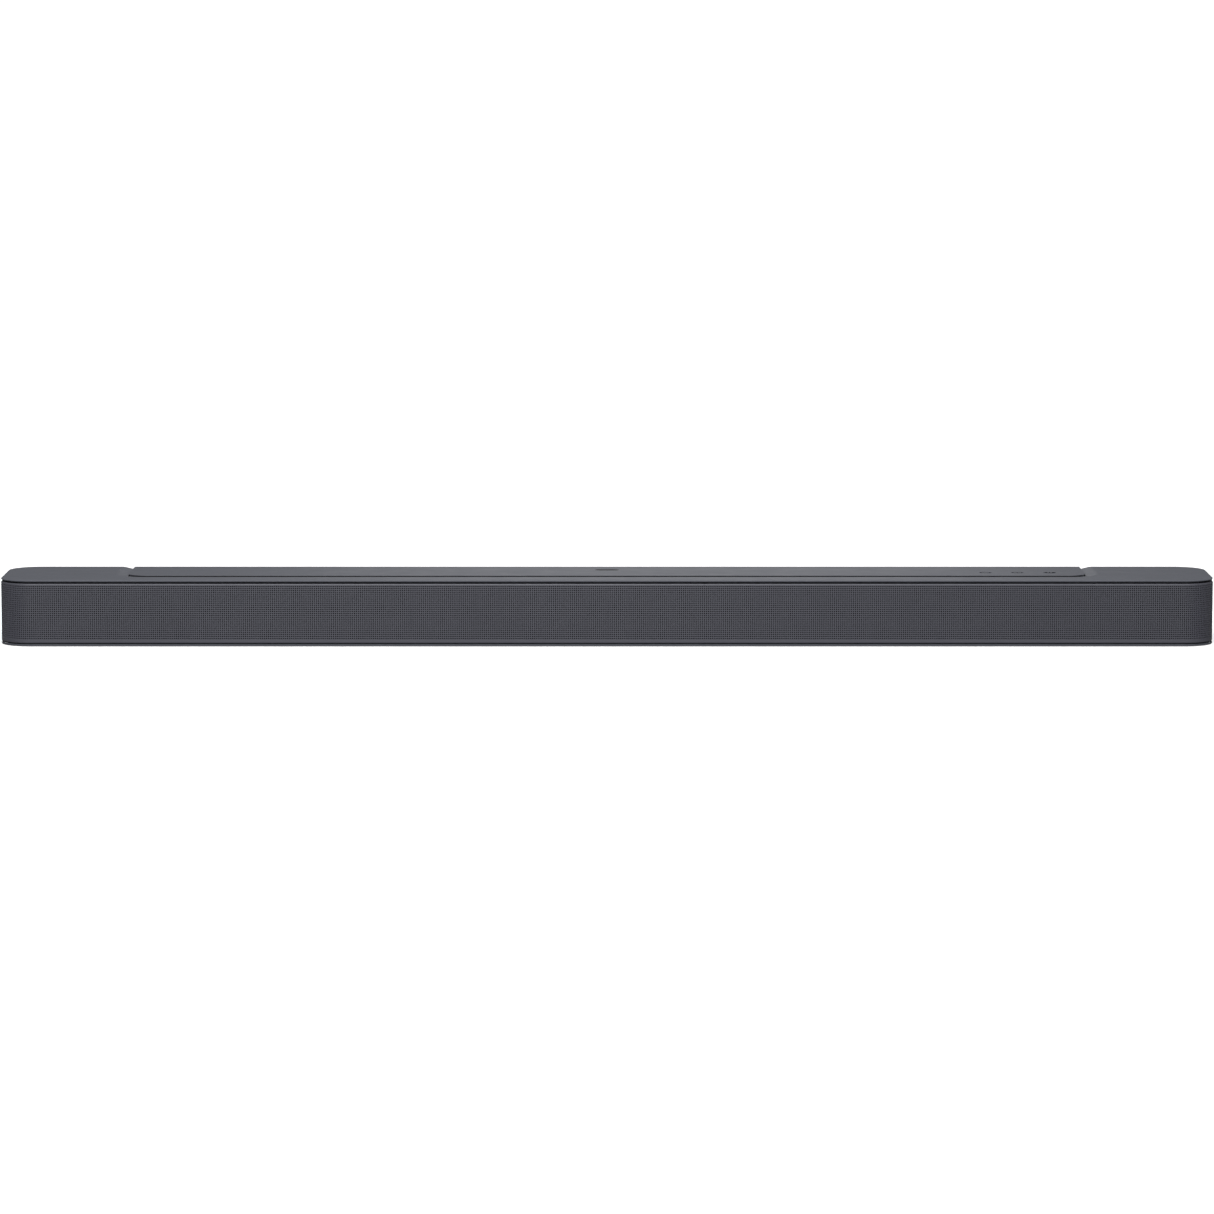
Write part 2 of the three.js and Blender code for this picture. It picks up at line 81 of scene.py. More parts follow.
def span(node):
    """A CAD node's lowest and highest corners in millimetres."""
    low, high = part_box(node)
    return Vector(low) / MM, Vector(high) / MM


def middle(node):
    low, high = span(node)
    return (low + high) / 2


WIDTH, DEPTH, HEIGHT = ((Vector(CAD_BOX[1]) - Vector(CAD_BOX[0])) / MM)[:]
FRONT, BACK = -DEPTH / 2, DEPTH / 2
CORNER = 26.0
WRAP_END = BACK - CORNER  # where the grille meets the rear panel on each side
GAP = 0.3
CASE_LOW, CASE_TOP = span("bottom_case")[0].z, span("bottom_case")[0].z + 1.5
COVER_LOW = HEIGHT - 1.8
GRILLE_LOW, GRILLE_HIGH = span("front_grille")[0].z, span("front_grille")[1].z
GRILLE_END = span("front_grille")[1].y
DECK_HALF = span("top_deck")[1].x
DECK_FRONT = span("top_deck")[0].y
DECK_R = 16.0
LIP, END_LIP = 0.6, 0.34  # the deck's lip in the middle and at the ends
LIP_STEADY, LIP_TAPER = 330, 50  # half the stretch with the full lip, and how far it takes to thin out
CROWN_FALL = 0.7
CROWN_END, CROWN_FADE = 15, 30  # the y where the cover's crown is gone, and how far it takes to fade
MOAT_WIDTH, MOAT_DEPTH = 9.5, 2.1
DECK_FLOOR = span("top_deck")[0].z - GAP
SOCKET_FACE = span("usb_socket")[1].y
KEY_NODES = ("volume_down_key", "volume_up_key", "power_key")
KEY_CAP, KEY_FLANGE = 4.8, 5.8
KEY_HOLE, KEY_WELL, STEM, STEM_HOLE = 5.35, 6.2, 2.0, 2.6
FOOT_NODES = ("front_left_foot", "front_right_foot", "rear_left_foot", "rear_right_foot")
SCREW_NODES = tuple(f"case_screw_{i}" for i in range(1, 7))
VIDEO_NODES = ("hdmi_in_socket", "hdmi_out_socket")
SOCKET_NODES = ("mains_inlet", "optical_socket", *VIDEO_NODES, "network_socket", "usb_socket")
IO_HALF, IO_LOW, IO_HIGH = 92.0, 10.0, 42.0  # the socket recess
PIN_OUT = 4.3  # each mains pin from the middle of the inlet
INSERT_NODES = ("left_wall_insert", "right_wall_insert")
ARC_STEPS = 24


# ---------------------------------------------------------------- settings
def colour(name, description, value):
    return FloatVectorProperty(
        name=name, description=description, default=value, size=3, min=0.0, max=1.0, subtype="COLOR"
    )


def length(name, description, millimetres):
    return FloatProperty(
        name=name, description=description, default=millimetres * MM, min=0.0, precision=5, unit="LENGTH"
    )


class GrilleSettings(bpy.types.PropertyGroup):
    """Sizes and paint of the perforated grille"""

    pitch: length("Hole pitch", "Distance between neighbouring holes", 1.75)
    hole: length("Hole diameter", "Diameter of each punched hole", 1.2)
    sheet: length("Sheet thickness", "Thickness of the steel sheet", 1.0)
    rows: IntProperty(name="Rows", description="Rows of holes, from bottom to top", default=26, min=1)
    paint: colour("Paint", "Powder coat on the steel", (0.062, 0.063, 0.078))


class CaseSettings(bpy.types.PropertyGroup):
    """Edges and colour of the moulded casework"""

    shell: colour("Shell", "Moulded plastic of the cover, deck, case and rear panel", (0.060, 0.064, 0.079))
    edge: length("Cover edge rounding", "Radius of the cover's top edge", 0.3)
    crown: length("Cover crown", "How far in from its edge the cover starts to fall away", 7.5)
    deck_edge: length("Deck edge rounding", "Radius of the deck's top edge", 0.22)


class KeySettings(bpy.types.PropertyGroup):
    """Sizes and print of the three keys"""

    mark: length("Mark length", "Length of the printed marks", 4.6)
    line: length("Mark line", "Width of the printed lines", 0.8)
    ink: colour("Ink", "Printed marks on the keys", (0.008, 0.008, 0.010))


class StageSettings(bpy.types.PropertyGroup):
    """Floor, lights and camera"""

    floor: colour("Floor", "Pale floor under the bar", (0.86, 0.86, 0.86))
    surround: FloatProperty(
        name="Surround", description="Strength of the soft light from all round", default=1.0, min=0.0
    )
    overhead: FloatProperty(
        name="Overhead", description="Strength of the wide light from above", default=1.7, min=0.0
    )
    key: FloatProperty(
        name="Key", description="Power of the front soft box", default=16.0, min=0.0, unit="POWER"
    )
    glow: FloatProperty(
        name="Glow", description="Power of the soft box behind the bar", default=1.55, min=0.0, unit="POWER"
    )
    fill: FloatProperty(
        name="Fill", description="Power of the low strip behind the bar", default=9.0, min=0.0, unit="POWER"
    )
    distance: FloatProperty(
        name="Distance", description="From the camera to the front of the bar", default=3.949, unit="LENGTH"
    )
    elevation: FloatProperty(
        name="Elevation", description="Camera's height angle", default=math.radians(6.85), subtype="ANGLE"
    )
    lens: FloatProperty(
        name="Lens", description="Focal length", default=140.3, min=1.0, unit="CAMERA", subtype="NONE"
    )


# ---------------------------------------------------------------- mesh tools
def make_piece(name, points, faces, sharp=28.0):
    """A mesh object from points in millimetres, with smooth faces parted at its sharp edges."""
    mesh = bpy.data.meshes.new(name)
    mesh.from_pydata((np.asarray(points, dtype=float) * MM).tolist(), [], faces)
    piece = bpy.data.objects.new(name, mesh)
    bpy.context.scene.collection.objects.link(piece)
    face_outward(piece)
    soften(piece, sharp)
    return piece


def face_outward(piece):
    work = bmesh.new()
    work.from_mesh(piece.data)
    bmesh.ops.recalc_face_normals(work, faces=work.faces)
    work.to_mesh(piece.data)
    work.free()


def soften(piece, sharp):
    piece.data.shade_smooth()
    piece.data.set_sharp_from_angle(angle=math.radians(sharp))


def even_shading(piece):
    """Large flat faces keep their own normals beside small rounded ones."""
    step = piece.modifiers.new("even_shading", "WEIGHTED_NORMAL")
    step.keep_sharp = True
    step.weight = 80


def loft(rings, caps=True):
    """Points and faces through rings of equal length, which close on themselves."""
    count = len(rings[0])
    points = [p for ring in rings for p in ring]
    faces = []
    for k in range(len(rings) - 1):
        for i in range(count):
            j = (i + 1) % count
            faces.append((k * count + i, k * count + j, (k + 1) * count + j, (k + 1) * count + i))
    if caps:
        faces.append(tuple(range(count))[::-1])
        faces.append(tuple((len(rings) - 1) * count + i for i in range(count)))
    return points, faces


def merged(*parts):
    """Several (points, faces) as one."""
    points, faces = [], []
    for some_points, some_faces in parts:
        start = len(points)
        points += list(some_points)
        faces += [tuple(start + i for i in face) for face in some_faces]
    return points, faces


def freeze(piece):
    """Applies a piece's modifiers."""
    graph = bpy.context.evaluated_depsgraph_get()
    mesh = bpy.data.meshes.new_from_object(piece.evaluated_get(graph))
    old, name = piece.data, piece.name
    piece.modifiers.clear()
    piece.data = mesh
    bpy.data.meshes.remove(old)
    mesh.name = name


def combine(piece, tool, operation="DIFFERENCE", sharp=28.0):
    """Cuts tool out of piece, or joins it on."""
    step = piece.modifiers.new("combine", "BOOLEAN")
    step.operation, step.solver, step.object = operation, "EXACT", tool
    freeze(piece)
    bpy.data.objects.remove(tool)
    if not piece.data.polygons:
        raise RuntimeError(f"{piece.name} came out empty")
    soften(piece, sharp)


def settle(piece, material, body=BAR, nodes=()):
    """Finishes a piece: its material, the body it rides on, and the CAD nodes it stands for."""
    piece.data.materials.clear()
    piece.data.materials.append(material)
    if nodes:
        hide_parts(*nodes)
    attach(piece, body)
    return piece


# ---------------------------------------------------------------- outlines
def round_rect(x0, y0, x1, y1, r, steps=ARC_STEPS):
    """Points round a rectangle with round corners, anticlockwise."""
    corners = ((x1 - r, y1 - r, 0), (x0 + r, y1 - r, 90), (x0 + r, y0 + r, 180), (x1 - r, y0 + r, 270))
    points = []
    for cx, cy, start in corners:
        for i in range(steps + 1):
            a = math.radians(start + 90 * i / steps)
            points.append((cx + r * math.cos(a), cy + r * math.sin(a)))
    return points


def bar_ring(inset, z):
    """The bar's outline from above, drawn in by inset, at height z."""
    flat = round_rect(-WIDTH / 2 + inset, FRONT + inset, WIDTH / 2 - inset, BACK - inset, CORNER - inset)
    return [(x, y, z) for x, y in flat]


def pill_ring(centre, half_length, half_width, z, steps=12):
    x, y = centre
    r = half_width - 0.001
    flat = round_rect(x - half_length, y - half_width, x + half_length, y + half_width, r, steps)
    return [(px, py, z) for px, py in flat]


def deck_ring(grow, z, back):
    """The deck's outline grown by grow: round in front, square at the back, which stays at y = back. Two
    points on its front edge mark where the lip starts to thin."""
    half, front, r = DECK_HALF + grow, DECK_FRONT - grow, DECK_R + grow
    points = [(half, back, z), (-half, back, z)]
    for cx, start in ((-half + r, 180), (half - r, 270)):
        for i in range(ARC_STEPS + 1):
            a = math.radians(start + 90 * i / ARC_STEPS)
            points.append((cx + r * math.cos(a), front + r + r * math.sin(a), z))
        if start == 180:
            points += [(-LIP_STEADY, front, z), (LIP_STEADY, front, z)]
    return points


def circle(x, y, z, r, steps=48):
    return [
        (x + r * math.cos(2 * math.pi * i / steps), y + r * math.sin(2 * math.pi * i / steps), z)
        for i in range(steps)
    ]


def turned(x, y, profile, steps=48):
    """A round upright solid through (radius, height) pairs."""
    return loft([circle(x, y, z, r, steps) for r, z in profile])


def along_y(part):
    """Turns an upright part, so that what pointed up points to the back and its y runs up."""
    points, faces = part
    return [(x, z, y) for x, y, z in points], faces


def box(x0, y0, z0, x1, y1, z1):
    low = [(x0, y0, z0), (x1, y0, z0), (x1, y1, z0), (x0, y1, z0)]
    return loft([low, [(x, y, z1) for x, y, _ in low]])


def quarter(steps=6):
    """(across, up) along a quarter circle of radius 1, from its side to its top."""
    return [
        (1 - math.cos(math.pi / 2 * i / steps), math.sin(math.pi / 2 * i / steps)) for i in range(steps + 1)
    ]


# ---------------------------------------------------------------- shared shader effects
def wire(tree, source, output, target, socket):
    tree.links.new(source.outputs[output], target.inputs[socket])


def put(node, **values):
    """Sets a node's inputs by name, with _ for each space."""
    for label, value in values.items():
        node.inputs[label.replace("_", " ")].default_value = value


def math_node(tree, operation):
    node = tree.nodes.new("ShaderNodeMath")
    node.operation = operation
    return node


def new_group(name, inputs, output):
    """A shader group with the named float and colour inputs, and its input and output nodes."""
    group = bpy.data.node_groups.new(name, "ShaderNodeTree")
    for label, kind, value in inputs:
        made = group.interface.new_socket(name=label, in_out="INPUT", socket_type=kind)
        made.default_value = value
    group.interface.new_socket(name=output[0], in_out="OUTPUT", socket_type=output[1])
    source = group.nodes.new("NodeGroupInput")
    sink = group.nodes.new("NodeGroupOutput")
    return group, source, sink


def noise_node(tree, detail, roughness):
    coordinates = tree.nodes.new("ShaderNodeTexCoord")
    noise = tree.nodes.new("ShaderNodeTexNoise")
    put(noise, Detail=detail, Roughness=roughness)
    wire(tree, coordinates, "Object", noise, "Vector")
    return noise


def grain_group():
    """Height of a moulded or sprayed surface: fine grain over a slower swell."""
    group, source, sink = new_group(
        "surface_grain",
        [("Grain Scale", "NodeSocketFloat", 2500.0), ("Swell Scale", "NodeSocketFloat", 300.0),
         ("Swell", "NodeSocketFloat", 0.3)],
        ("Height", "NodeSocketFloat"),
    )
    fine, slow = noise_node(group, 2.0, 0.6), noise_node(group, 1.0, 0.4)
    blend = group.nodes.new("ShaderNodeMix")
    wire(group, source, "Grain Scale", fine, "Scale")
    wire(group, source, "Swell Scale", slow, "Scale")
    wire(group, source, "Swell", blend, "Factor")
    wire(group, fine, "Fac", blend, "A")
    wire(group, slow, "Fac", blend, "B")
    wire(group, blend, "Result", sink, "Height")
    return group


def drift_group():
    """A colour that drifts a little lighter and darker over the surface."""
    group, source, sink = new_group(
        "tone_drift",
        [("Colour", "NodeSocketColor", (0.5, 0.5, 0.5, 1.0)), ("Scale", "NodeSocketFloat", 40.0),
         ("Amount", "NodeSocketFloat", 0.1)],
        ("Colour", "NodeSocketColor"),
    )
    noise = noise_node(group, 3.0, 0.55)
    spread = group.nodes.new("ShaderNodeMapRange")
    put(spread, From_Min=0.3, From_Max=0.7, To_Min=-1.0)
    gain = math_node(group, "MULTIPLY_ADD")
    gain.inputs[2].default_value = 1.0
    tint = group.nodes.new("ShaderNodeVectorMath")
    tint.operation = "SCALE"
    wire(group, source, "Scale", noise, "Scale")
    wire(group, noise, "Fac", spread, "Value")
    wire(group, spread, "Result", gain, 0)
    wire(group, source, "Amount", gain, 1)
    wire(group, source, "Colour", tint, 0)
    wire(group, gain, "Value", tint, "Scale")
    wire(group, tint, "Vector", sink, "Colour")
    return group


def sheen_group():
    """Roughness that varies in soft patches, between Low and High."""
    group, source, sink = new_group(
        "patchy_roughness",
        [("Low", "NodeSocketFloat", 0.4), ("High", "NodeSocketFloat", 0.5),
         ("Scale", "NodeSocketFloat", 60.0)],
        ("Roughness", "NodeSocketFloat"),
    )
    noise = noise_node(group, 2.0, 0.5)
    spread = group.nodes.new("ShaderNodeMapRange")
    put(spread, From_Min=0.3, From_Max=0.7)
    wire(group, source, "Scale", noise, "Scale")
    wire(group, noise, "Fac", spread, "Value")
    wire(group, source, "Low", spread, "To Min")
    wire(group, source, "High", spread, "To Max")
    wire(group, spread, "Result", sink, "Roughness")
    return group


def dust_group():
    """A colour with a trace of pale dust on what faces up."""
    group, source, sink = new_group(
        "settled_dust",
        [("Colour", "NodeSocketColor", (0.5, 0.5, 0.5, 1.0)), ("Amount", "NodeSocketFloat", 0.03)],
        ("Colour", "NodeSocketColor"),
    )
    geometry = group.nodes.new("ShaderNodeNewGeometry")
    parts = group.nodes.new("ShaderNodeSeparateXYZ")
    specks = noise_node(group, 4.0, 0.7)
    put(specks, Scale=900.0)
    facing = group.nodes.new("ShaderNodeMapRange")
    put(facing, From_Min=0.6)
    sparse = group.nodes.new("ShaderNodeMapRange")
    put(sparse, From_Min=0.55, From_Max=0.75)
    both, scaled = math_node(group, "MULTIPLY"), math_node(group, "MULTIPLY")
    blend = group.nodes.new("ShaderNodeMix")
    blend.data_type = "RGBA"
    blend.inputs["B"].default_value = (0.35, 0.34, 0.32, 1.0)
    wire(group, geometry, "Normal", parts, "Vector")
    wire(group, parts, "Z", facing, "Value")
    wire(group, specks, "Fac", sparse, "Value")
    wire(group, facing, "Result", both, 0)
    wire(group, sparse, "Result", both, 1)
    wire(group, both, "Value", scaled, 0)
    wire(group, source, "Amount", scaled, 1)
    wire(group, scaled, "Value", blend, "Factor")
    wire(group, source, "Colour", blend, "A")
    wire(group, blend, "Result", sink, "Colour")
    return group


EFFECTS = {
    "surface_grain": grain_group,
    "tone_drift": drift_group,
    "patchy_roughness": sheen_group,
    "settled_dust": dust_group,
}


def effect(tree, name, **values):
    """Places a shared effect in a material, building it the first time."""
    group = bpy.data.node_groups.get(name) or EFFECTS[name]()
    node = tree.nodes.new("ShaderNodeGroup")
    node.node_tree = group
    put(node, **values)
    return node


# ---------------------------------------------------------------- materials
def finish_of(name, tone, rough, grain, drift=(40.0, 0.06), metal=0.0, dust=0.0, **plain):
    """A painted, moulded or metal finish. rough is (low, high, patch scale) and grain is (scale, swell scale,
    swell, depth in millimetres). Anything in plain is set on the shader's own socket."""
    known = bpy.data.materials.get(name)
    if known:
        return known
    material = bpy.data.materials.new(name)
    material.use_nodes = True
    tree = material.node_tree
    shader = tree.nodes["Principled BSDF"]
    toned = effect(tree, "tone_drift", Colour=(*tone, 1.0), Scale=drift[0], Amount=drift[1])
    if dust:
        dusty = effect(tree, "settled_dust", Amount=dust)
        wire(tree, toned, "Colour", dusty, "Colour")
        toned = dusty
    wire(tree, toned, "Colour", shader, "Base Color")
    patchy = effect(tree, "patchy_roughness", Low=rough[0], High=rough[1], Scale=rough[2])
    wire(tree, patchy, "Roughness", shader, "Roughness")
    relief = effect(tree, "surface_grain", Grain_Scale=grain[0], Swell_Scale=grain[1], Swell=grain[2])
    bump = tree.nodes.new("ShaderNodeBump")
    bump.inputs["Distance"].default_value = grain[3] * MM
    wire(tree, relief, "Height", bump, "Height")
    wire(tree, bump, "Normal", shader, "Normal")
    put(shader, Metallic=metal, **plain)
    return material


def moulded_slate():
    tone = tuple(bpy.context.scene.soundbar_case.shell)
    return finish_of("moulded_slate", tone, (0.44, 0.50, 50.0), (2600.0, 500.0, 0.25, 0.03), (25.0, 0.03),
                     dust=0.05)


def slate_powder_coat():
    tone = tuple(bpy.context.scene.soundbar_grille.paint)
    return finish_of("slate_powder_coat", tone, (0.42, 0.50, 80.0), (3200.0, 900.0, 0.5, 0.025), (30.0, 0.03))


def punched_edge_paint():
    """The paint inside the punched holes, too small to show any pattern."""
    known = bpy.data.materials.get("punched_edge_paint")
    if known:
        return known
    material = bpy.data.materials.new("punched_edge_paint")
    material.use_nodes = True
    shader = material.node_tree.nodes["Principled BSDF"]
    put(shader, Base_Color=(*bpy.context.scene.soundbar_grille.paint, 1.0), Roughness=0.5)
    return material


def badge_lacquer():
    return finish_of("badge_lacquer", (0.008, 0.009, 0.012), (0.30, 0.36, 200.0), (3000.0, 600.0, 0.4, 0.006),
                     IOR=1.08)


def key_ink():
    tone = tuple(bpy.context.scene.soundbar_keys.ink)
    return finish_of("key_ink", tone, (0.7, 0.8, 400.0), (5000.0, 900.0, 0.3, 0.01), IOR=1.0)


def black_moulding():
    return finish_of("black_moulding", (0.012, 0.012, 0.013), (0.42, 0.52, 90.0),
                     (2200.0, 400.0, 0.3, 0.04), (60.0, 0.1))


def foot_rubber():
    return finish_of("foot_rubber", (0.014, 0.014, 0.015), (0.75, 0.88, 150.0), (1800.0, 500.0, 0.3, 0.06),
                     (200.0, 0.15))


def zinc_plate():
    return finish_of("zinc_plate", (0.46, 0.47, 0.49), (0.24, 0.40, 300.0), (1500.0, 300.0, 0.5, 0.02),
                     (400.0, 0.12), 1.0)


def black_screw_plate():
    return finish_of("black_screw_plate", (0.035, 0.035, 0.037), (0.30, 0.42, 300.0),
                     (2500.0, 600.0, 0.4, 0.015),
                     (300.0, 0.12), 1.0)


def nickel_plate():
    return finish_of("nickel_plate", (0.55, 0.54, 0.51), (0.16, 0.28, 500.0), (2500.0, 600.0, 0.5, 0.01),
                     (400.0, 0.08), 1.0)


def contact_gold():
    return finish_of("contact_gold", (0.72, 0.50, 0.20), (0.18, 0.28, 500.0), (2500.0, 600.0, 0.5, 0.008),
                     (400.0, 0.08), 1.0)


def turned_brass():
    return finish_of("turned_brass", (0.56, 0.40, 0.17), (0.22, 0.36, 300.0), (1800.0, 500.0, 0.5, 0.02),
                     (300.0, 0.1), 1.0)


def cast_aluminium():
    return finish_of("cast_aluminium", (0.58, 0.59, 0.60), (0.30, 0.44, 200.0), (900.0, 200.0, 0.5, 0.03),
                     (150.0, 0.08), 1.0)


def magnet_plate():
    return finish_of("magnet_plate", (0.05, 0.052, 0.056), (0.30, 0.44, 200.0), (1500.0, 300.0, 0.5, 0.02),
                     (150.0, 0.12), 0.8)


def pressed_fibre():
    return finish_of("pressed_fibre", (0.028, 0.028, 0.030), (0.70, 0.85, 150.0),
                     (1200.0, 260.0, 0.35, 0.08), (180.0, 0.2))


def board_green():
    return finish_of("board_green", (0.014, 0.085, 0.038), (0.22, 0.32, 200.0), (1500.0, 400.0, 0.5, 0.02),
                     (120.0, 0.18))


def acoustic_cloth():
    """Black woven cloth: two crossed sets of threads."""
    known = bpy.data.materials.get("acoustic_cloth")
    if known:
        return known
    material = finish_of(
        "acoustic_cloth", (0.006, 0.006, 0.007), (0.85, 0.95, 200.0), (1500.0, 300.0, 0.2, 0.05)
    )
    tree = material.node_tree
    bump = next(node for node in tree.nodes if node.type == "BUMP")
    coordinates = tree.nodes.new("ShaderNodeTexCoord")
    threads = []
    for direction in ("X", "Z"):
        wave = tree.nodes.new("ShaderNodeTexWave")
        wave.bands_direction = direction
        put(wave, Scale=700.0)
        wire(tree, coordinates, "Object", wave, "Vector")
        threads.append(wave)
    weave = math_node(tree, "MAXIMUM")
    wire(tree, threads[0], "Fac", weave, 0)
    wire(tree, threads[1], "Fac", weave, 1)
    wire(tree, weave, "Value", bump, "Height")
    return material


SLOT_FINISHES = {
    "shell": moulded_slate,
    "grille": slate_powder_coat,
    "trim": black_moulding,
    "cloth": acoustic_cloth,
    "rubber": foot_rubber,
    "cone": pressed_fibre,
    "magnet": magnet_plate,
    "steel": zinc_plate,
    "aluminium": cast_aluminium,
    "brass": turned_brass,
    "board": board_green,
}


# ---------------------------------------------------------------- grille
SIDE_RUN = GRILLE_END - (FRONT + CORNER)
CORNER_RUN = math.pi / 2 * CORNER
FRONT_RUN = WIDTH - 2 * CORNER
WRAP_RUN = 2 * SIDE_RUN + 2 * CORNER_RUN + FRONT_RUN
TURN_IN = 4.4  # how far the sheet's folded edges reach in
PLAIN_ENDS = 9.0  # unpunched sheet at the two ends together
HOLES_RAISED = 0.95  # how far the field of holes sits above the middle of the sheet


def wrap_points(run, z, inset):
    """Points run millimetres along the grille from its left end, at height z and inset behind its face."""
    run, z, inset = np.broadcast_arrays(*(np.asarray(value, float) for value in (run, z, inset)))
    left_turn = np.clip((run - SIDE_RUN) / CORNER, 0, math.pi / 2)
    right_turn = np.clip((run - SIDE_RUN - CORNER_RUN - FRONT_RUN) / CORNER, 0, math.pi / 2)
    turn = left_turn + right_turn
    along_left = np.clip(run, None, SIDE_RUN)
    along_front = np.clip(run - SIDE_RUN - CORNER_RUN, 0, FRONT_RUN)
    along_right = np.clip(run - SIDE_RUN - 2 * CORNER_RUN - FRONT_RUN, 0, None)
    x = -WIDTH / 2 + CORNER + along_front - (CORNER - inset) * np.cos(turn)
    y = GRILLE_END - along_left + along_right - (CORNER - inset) * np.sin(turn)
    return np.stack([x, y, z], axis=-1).reshape(-1, 3)


def hole_rings(columns, rows, pitch, radius):
    """Run and height of the eight points round each hole, as arrays of shape (columns, rows, 8)."""
    angles = np.arange(8) * math.pi / 4
    run = (columns[:, None, None] + pitch / 2) + radius * np.cos(angles)
    height = (rows[None, :, None] + pitch / 2) + radius * np.sin(angles)
    return np.broadcast_arrays(run, height)


def sheet_part(lines, insets, first_hole, hole_columns, heights, height_insets, first_row, hole_rows,
               pitch, radius):
    """Points and faces of a stretch of the sheet's face. lines are the runs of its upright grid lines and
    heights those of its level ones. Cells from first_hole and first_row on are punched."""
    across, up = len(lines), len(heights)
    run, height = np.meshgrid(lines, heights, indexing="ij")
    inset = insets[:, None] + height_insets[None, :]
    grid = wrap_points(run, height, inset)
    punched_lines = lines[first_hole : first_hole + hole_columns]
    punched_rows = heights[first_row : first_row + hole_rows]
    ring_run, ring_height = hole_rings(punched_lines, punched_rows, pitch, radius)
    rings = wrap_points(ring_run, ring_height, 0.0)

    i, j = np.meshgrid(np.arange(across - 1), np.arange(up - 1), indexing="ij")
    punched = (
        (i >= first_hole) & (i < first_hole + hole_columns) & (j >= first_row) & (j < first_row + hole_rows)
    )
    plain_i, plain_j = i[~punched], j[~punched]
    near, far = plain_i * up + plain_j, (plain_i + 1) * up + plain_j
    quads = np.stack([near, far, far + 1, near + 1], axis=-1)
    hole_i, hole_j = i[punched], j[punched]
    a, b = hole_i * up + hole_j, (hole_i + 1) * up + hole_j
    c, d = b + 1, a + 1
    start = len(grid) + ((hole_i - first_hole) * hole_rows + (hole_j - first_row)) * 8
    h = [start + k for k in range(8)]
    triangles = np.concatenate(
        [
            np.stack(t, axis=-1)
            for t in (
                (c, h[2], h[1]), (c, h[1], h[0]), (d, h[4], h[3]), (d, h[3], h[2]),
                (a, h[6], h[5]), (a, h[5], h[4]), (b, h[0], h[7]), (b, h[7], h[6]),
                (b, c, h[0]), (c, d, h[2]), (d, a, h[4]), (a, b, h[6]),
            )
        ]
    )
    return np.concatenate([grid, rings]), quads, triangles


def mesh_from_arrays(name, points, quads, triangles):
    """A mesh from large arrays of quads and triangles."""
    mesh = bpy.data.meshes.new(name)
    corners = np.concatenate([quads.reshape(-1), triangles.reshape(-1)]).astype(np.int32)
    sizes = np.concatenate([np.full(len(quads), 4), np.full(len(triangles), 3)]).astype(np.int32)
    starts = np.concatenate([[0], np.cumsum(sizes)[:-1]]).astype(np.int32)
    mesh.vertices.add(len(points))
    mesh.vertices.foreach_set("co", (points * MM).astype(np.float32).reshape(-1))
    mesh.loops.add(len(corners))
    mesh.loops.foreach_set("vertex_index", corners)
    mesh.polygons.add(len(sizes))
    mesh.polygons.foreach_set("loop_start", starts)
    mesh.update(calc_edges=True)
    mesh.validate()
    mesh.shade_smooth()
    piece = bpy.data.objects.new(name, mesh)
    bpy.context.scene.collection.objects.link(piece)
    return piece


def grille_grid(pitch, rows):
    """Upright and level grid lines of the sheet, how far each is set in, and where the holes begin."""
    columns = int((WRAP_RUN - PLAIN_ENDS) / pitch)
    columns -= columns % 2
    margin = (WRAP_RUN - columns * pitch) / 2
    edge_runs, edge_insets = np.array([0.0, 0.0, 0.25, 0.8]), np.array([TURN_IN, 0.7, 0.15, 0.0])
    punched = margin + pitch * np.arange(columns + 1)
    lines = np.concatenate([edge_runs, punched, WRAP_RUN - edge_runs[::-1]])
    insets = np.concatenate([edge_insets, np.zeros(columns + 1), edge_insets[::-1]])

    rim_rises = np.array([0.0, 0.0, 0.12, 0.35, 0.75, 1.2])
    rim_insets = np.array([TURN_IN, 0.95, 0.45, 0.15, 0.03, 0.0])
    lowest = (GRILLE_LOW + GRILLE_HIGH - rows * pitch) / 2 + HOLES_RAISED
    levels = lowest + pitch * np.arange(rows + 1)
    heights = np.concatenate([GRILLE_LOW + rim_rises, levels, GRILLE_HIGH - rim_rises[::-1]])
    height_insets = np.concatenate([rim_insets, np.zeros(rows + 1), rim_insets[::-1]])
    return lines, insets, len(edge_runs), columns, heights, height_insets, len(rim_rises)


def build_grille():
    settings = bpy.context.scene.soundbar_grille
    pitch, radius, sheet = settings.pitch / MM, settings.hole / MM / 2, settings.sheet / MM
    lines, insets, first, columns, heights, height_insets, first_row = grille_grid(pitch, settings.rows)
    middle_line = first + columns // 2
    halves = (
        ("left", slice(0, middle_line + 1), first),
        ("right", slice(middle_line, None), 0),
    )
    for side, part, first_hole in halves:
        points, quads, triangles = sheet_part(
            lines[part], insets[part], first_hole, columns // 2, heights, height_insets, first_row,
            settings.rows, pitch, radius,
        )
        sheet_piece = mesh_from_arrays(f"grille_sheet_{side}", points, quads, triangles)
        settle(sheet_piece, slate_powder_coat(), nodes=["front_grille"])

        punched_lines = lines[part][first_hole : first_hole + columns // 2]
        run, height = hole_rings(punched_lines, heights[first_row : first_row + settings.rows], pitch, radius)
        outer, inner = wrap_points(run, height, 0.0), wrap_points(run, height, sheet)
        start = np.arange(len(outer) // 8)[:, None] * 8
        k = start + np.arange(8)[None, :]
        following = start + (np.arange(8)[None, :] + 1) % 8
        walls = np.stack([k, following, following + len(outer), k + len(outer)], axis=-1).reshape(-1, 4)
        wall_piece = mesh_from_arrays(
            f"grille_holes_{side}", np.concatenate([outer, inner]), walls, np.zeros((0, 3), int)
        )
        settle(wall_piece, punched_edge_paint(), nodes=["front_grille"])


# ---------------------------------------------------------------- cover and deck
def at_keys(profile):
    """The same round cutter at each key."""
    return merged(*(turned(middle(node).x, middle(node).y, profile) for node in KEY_NODES))


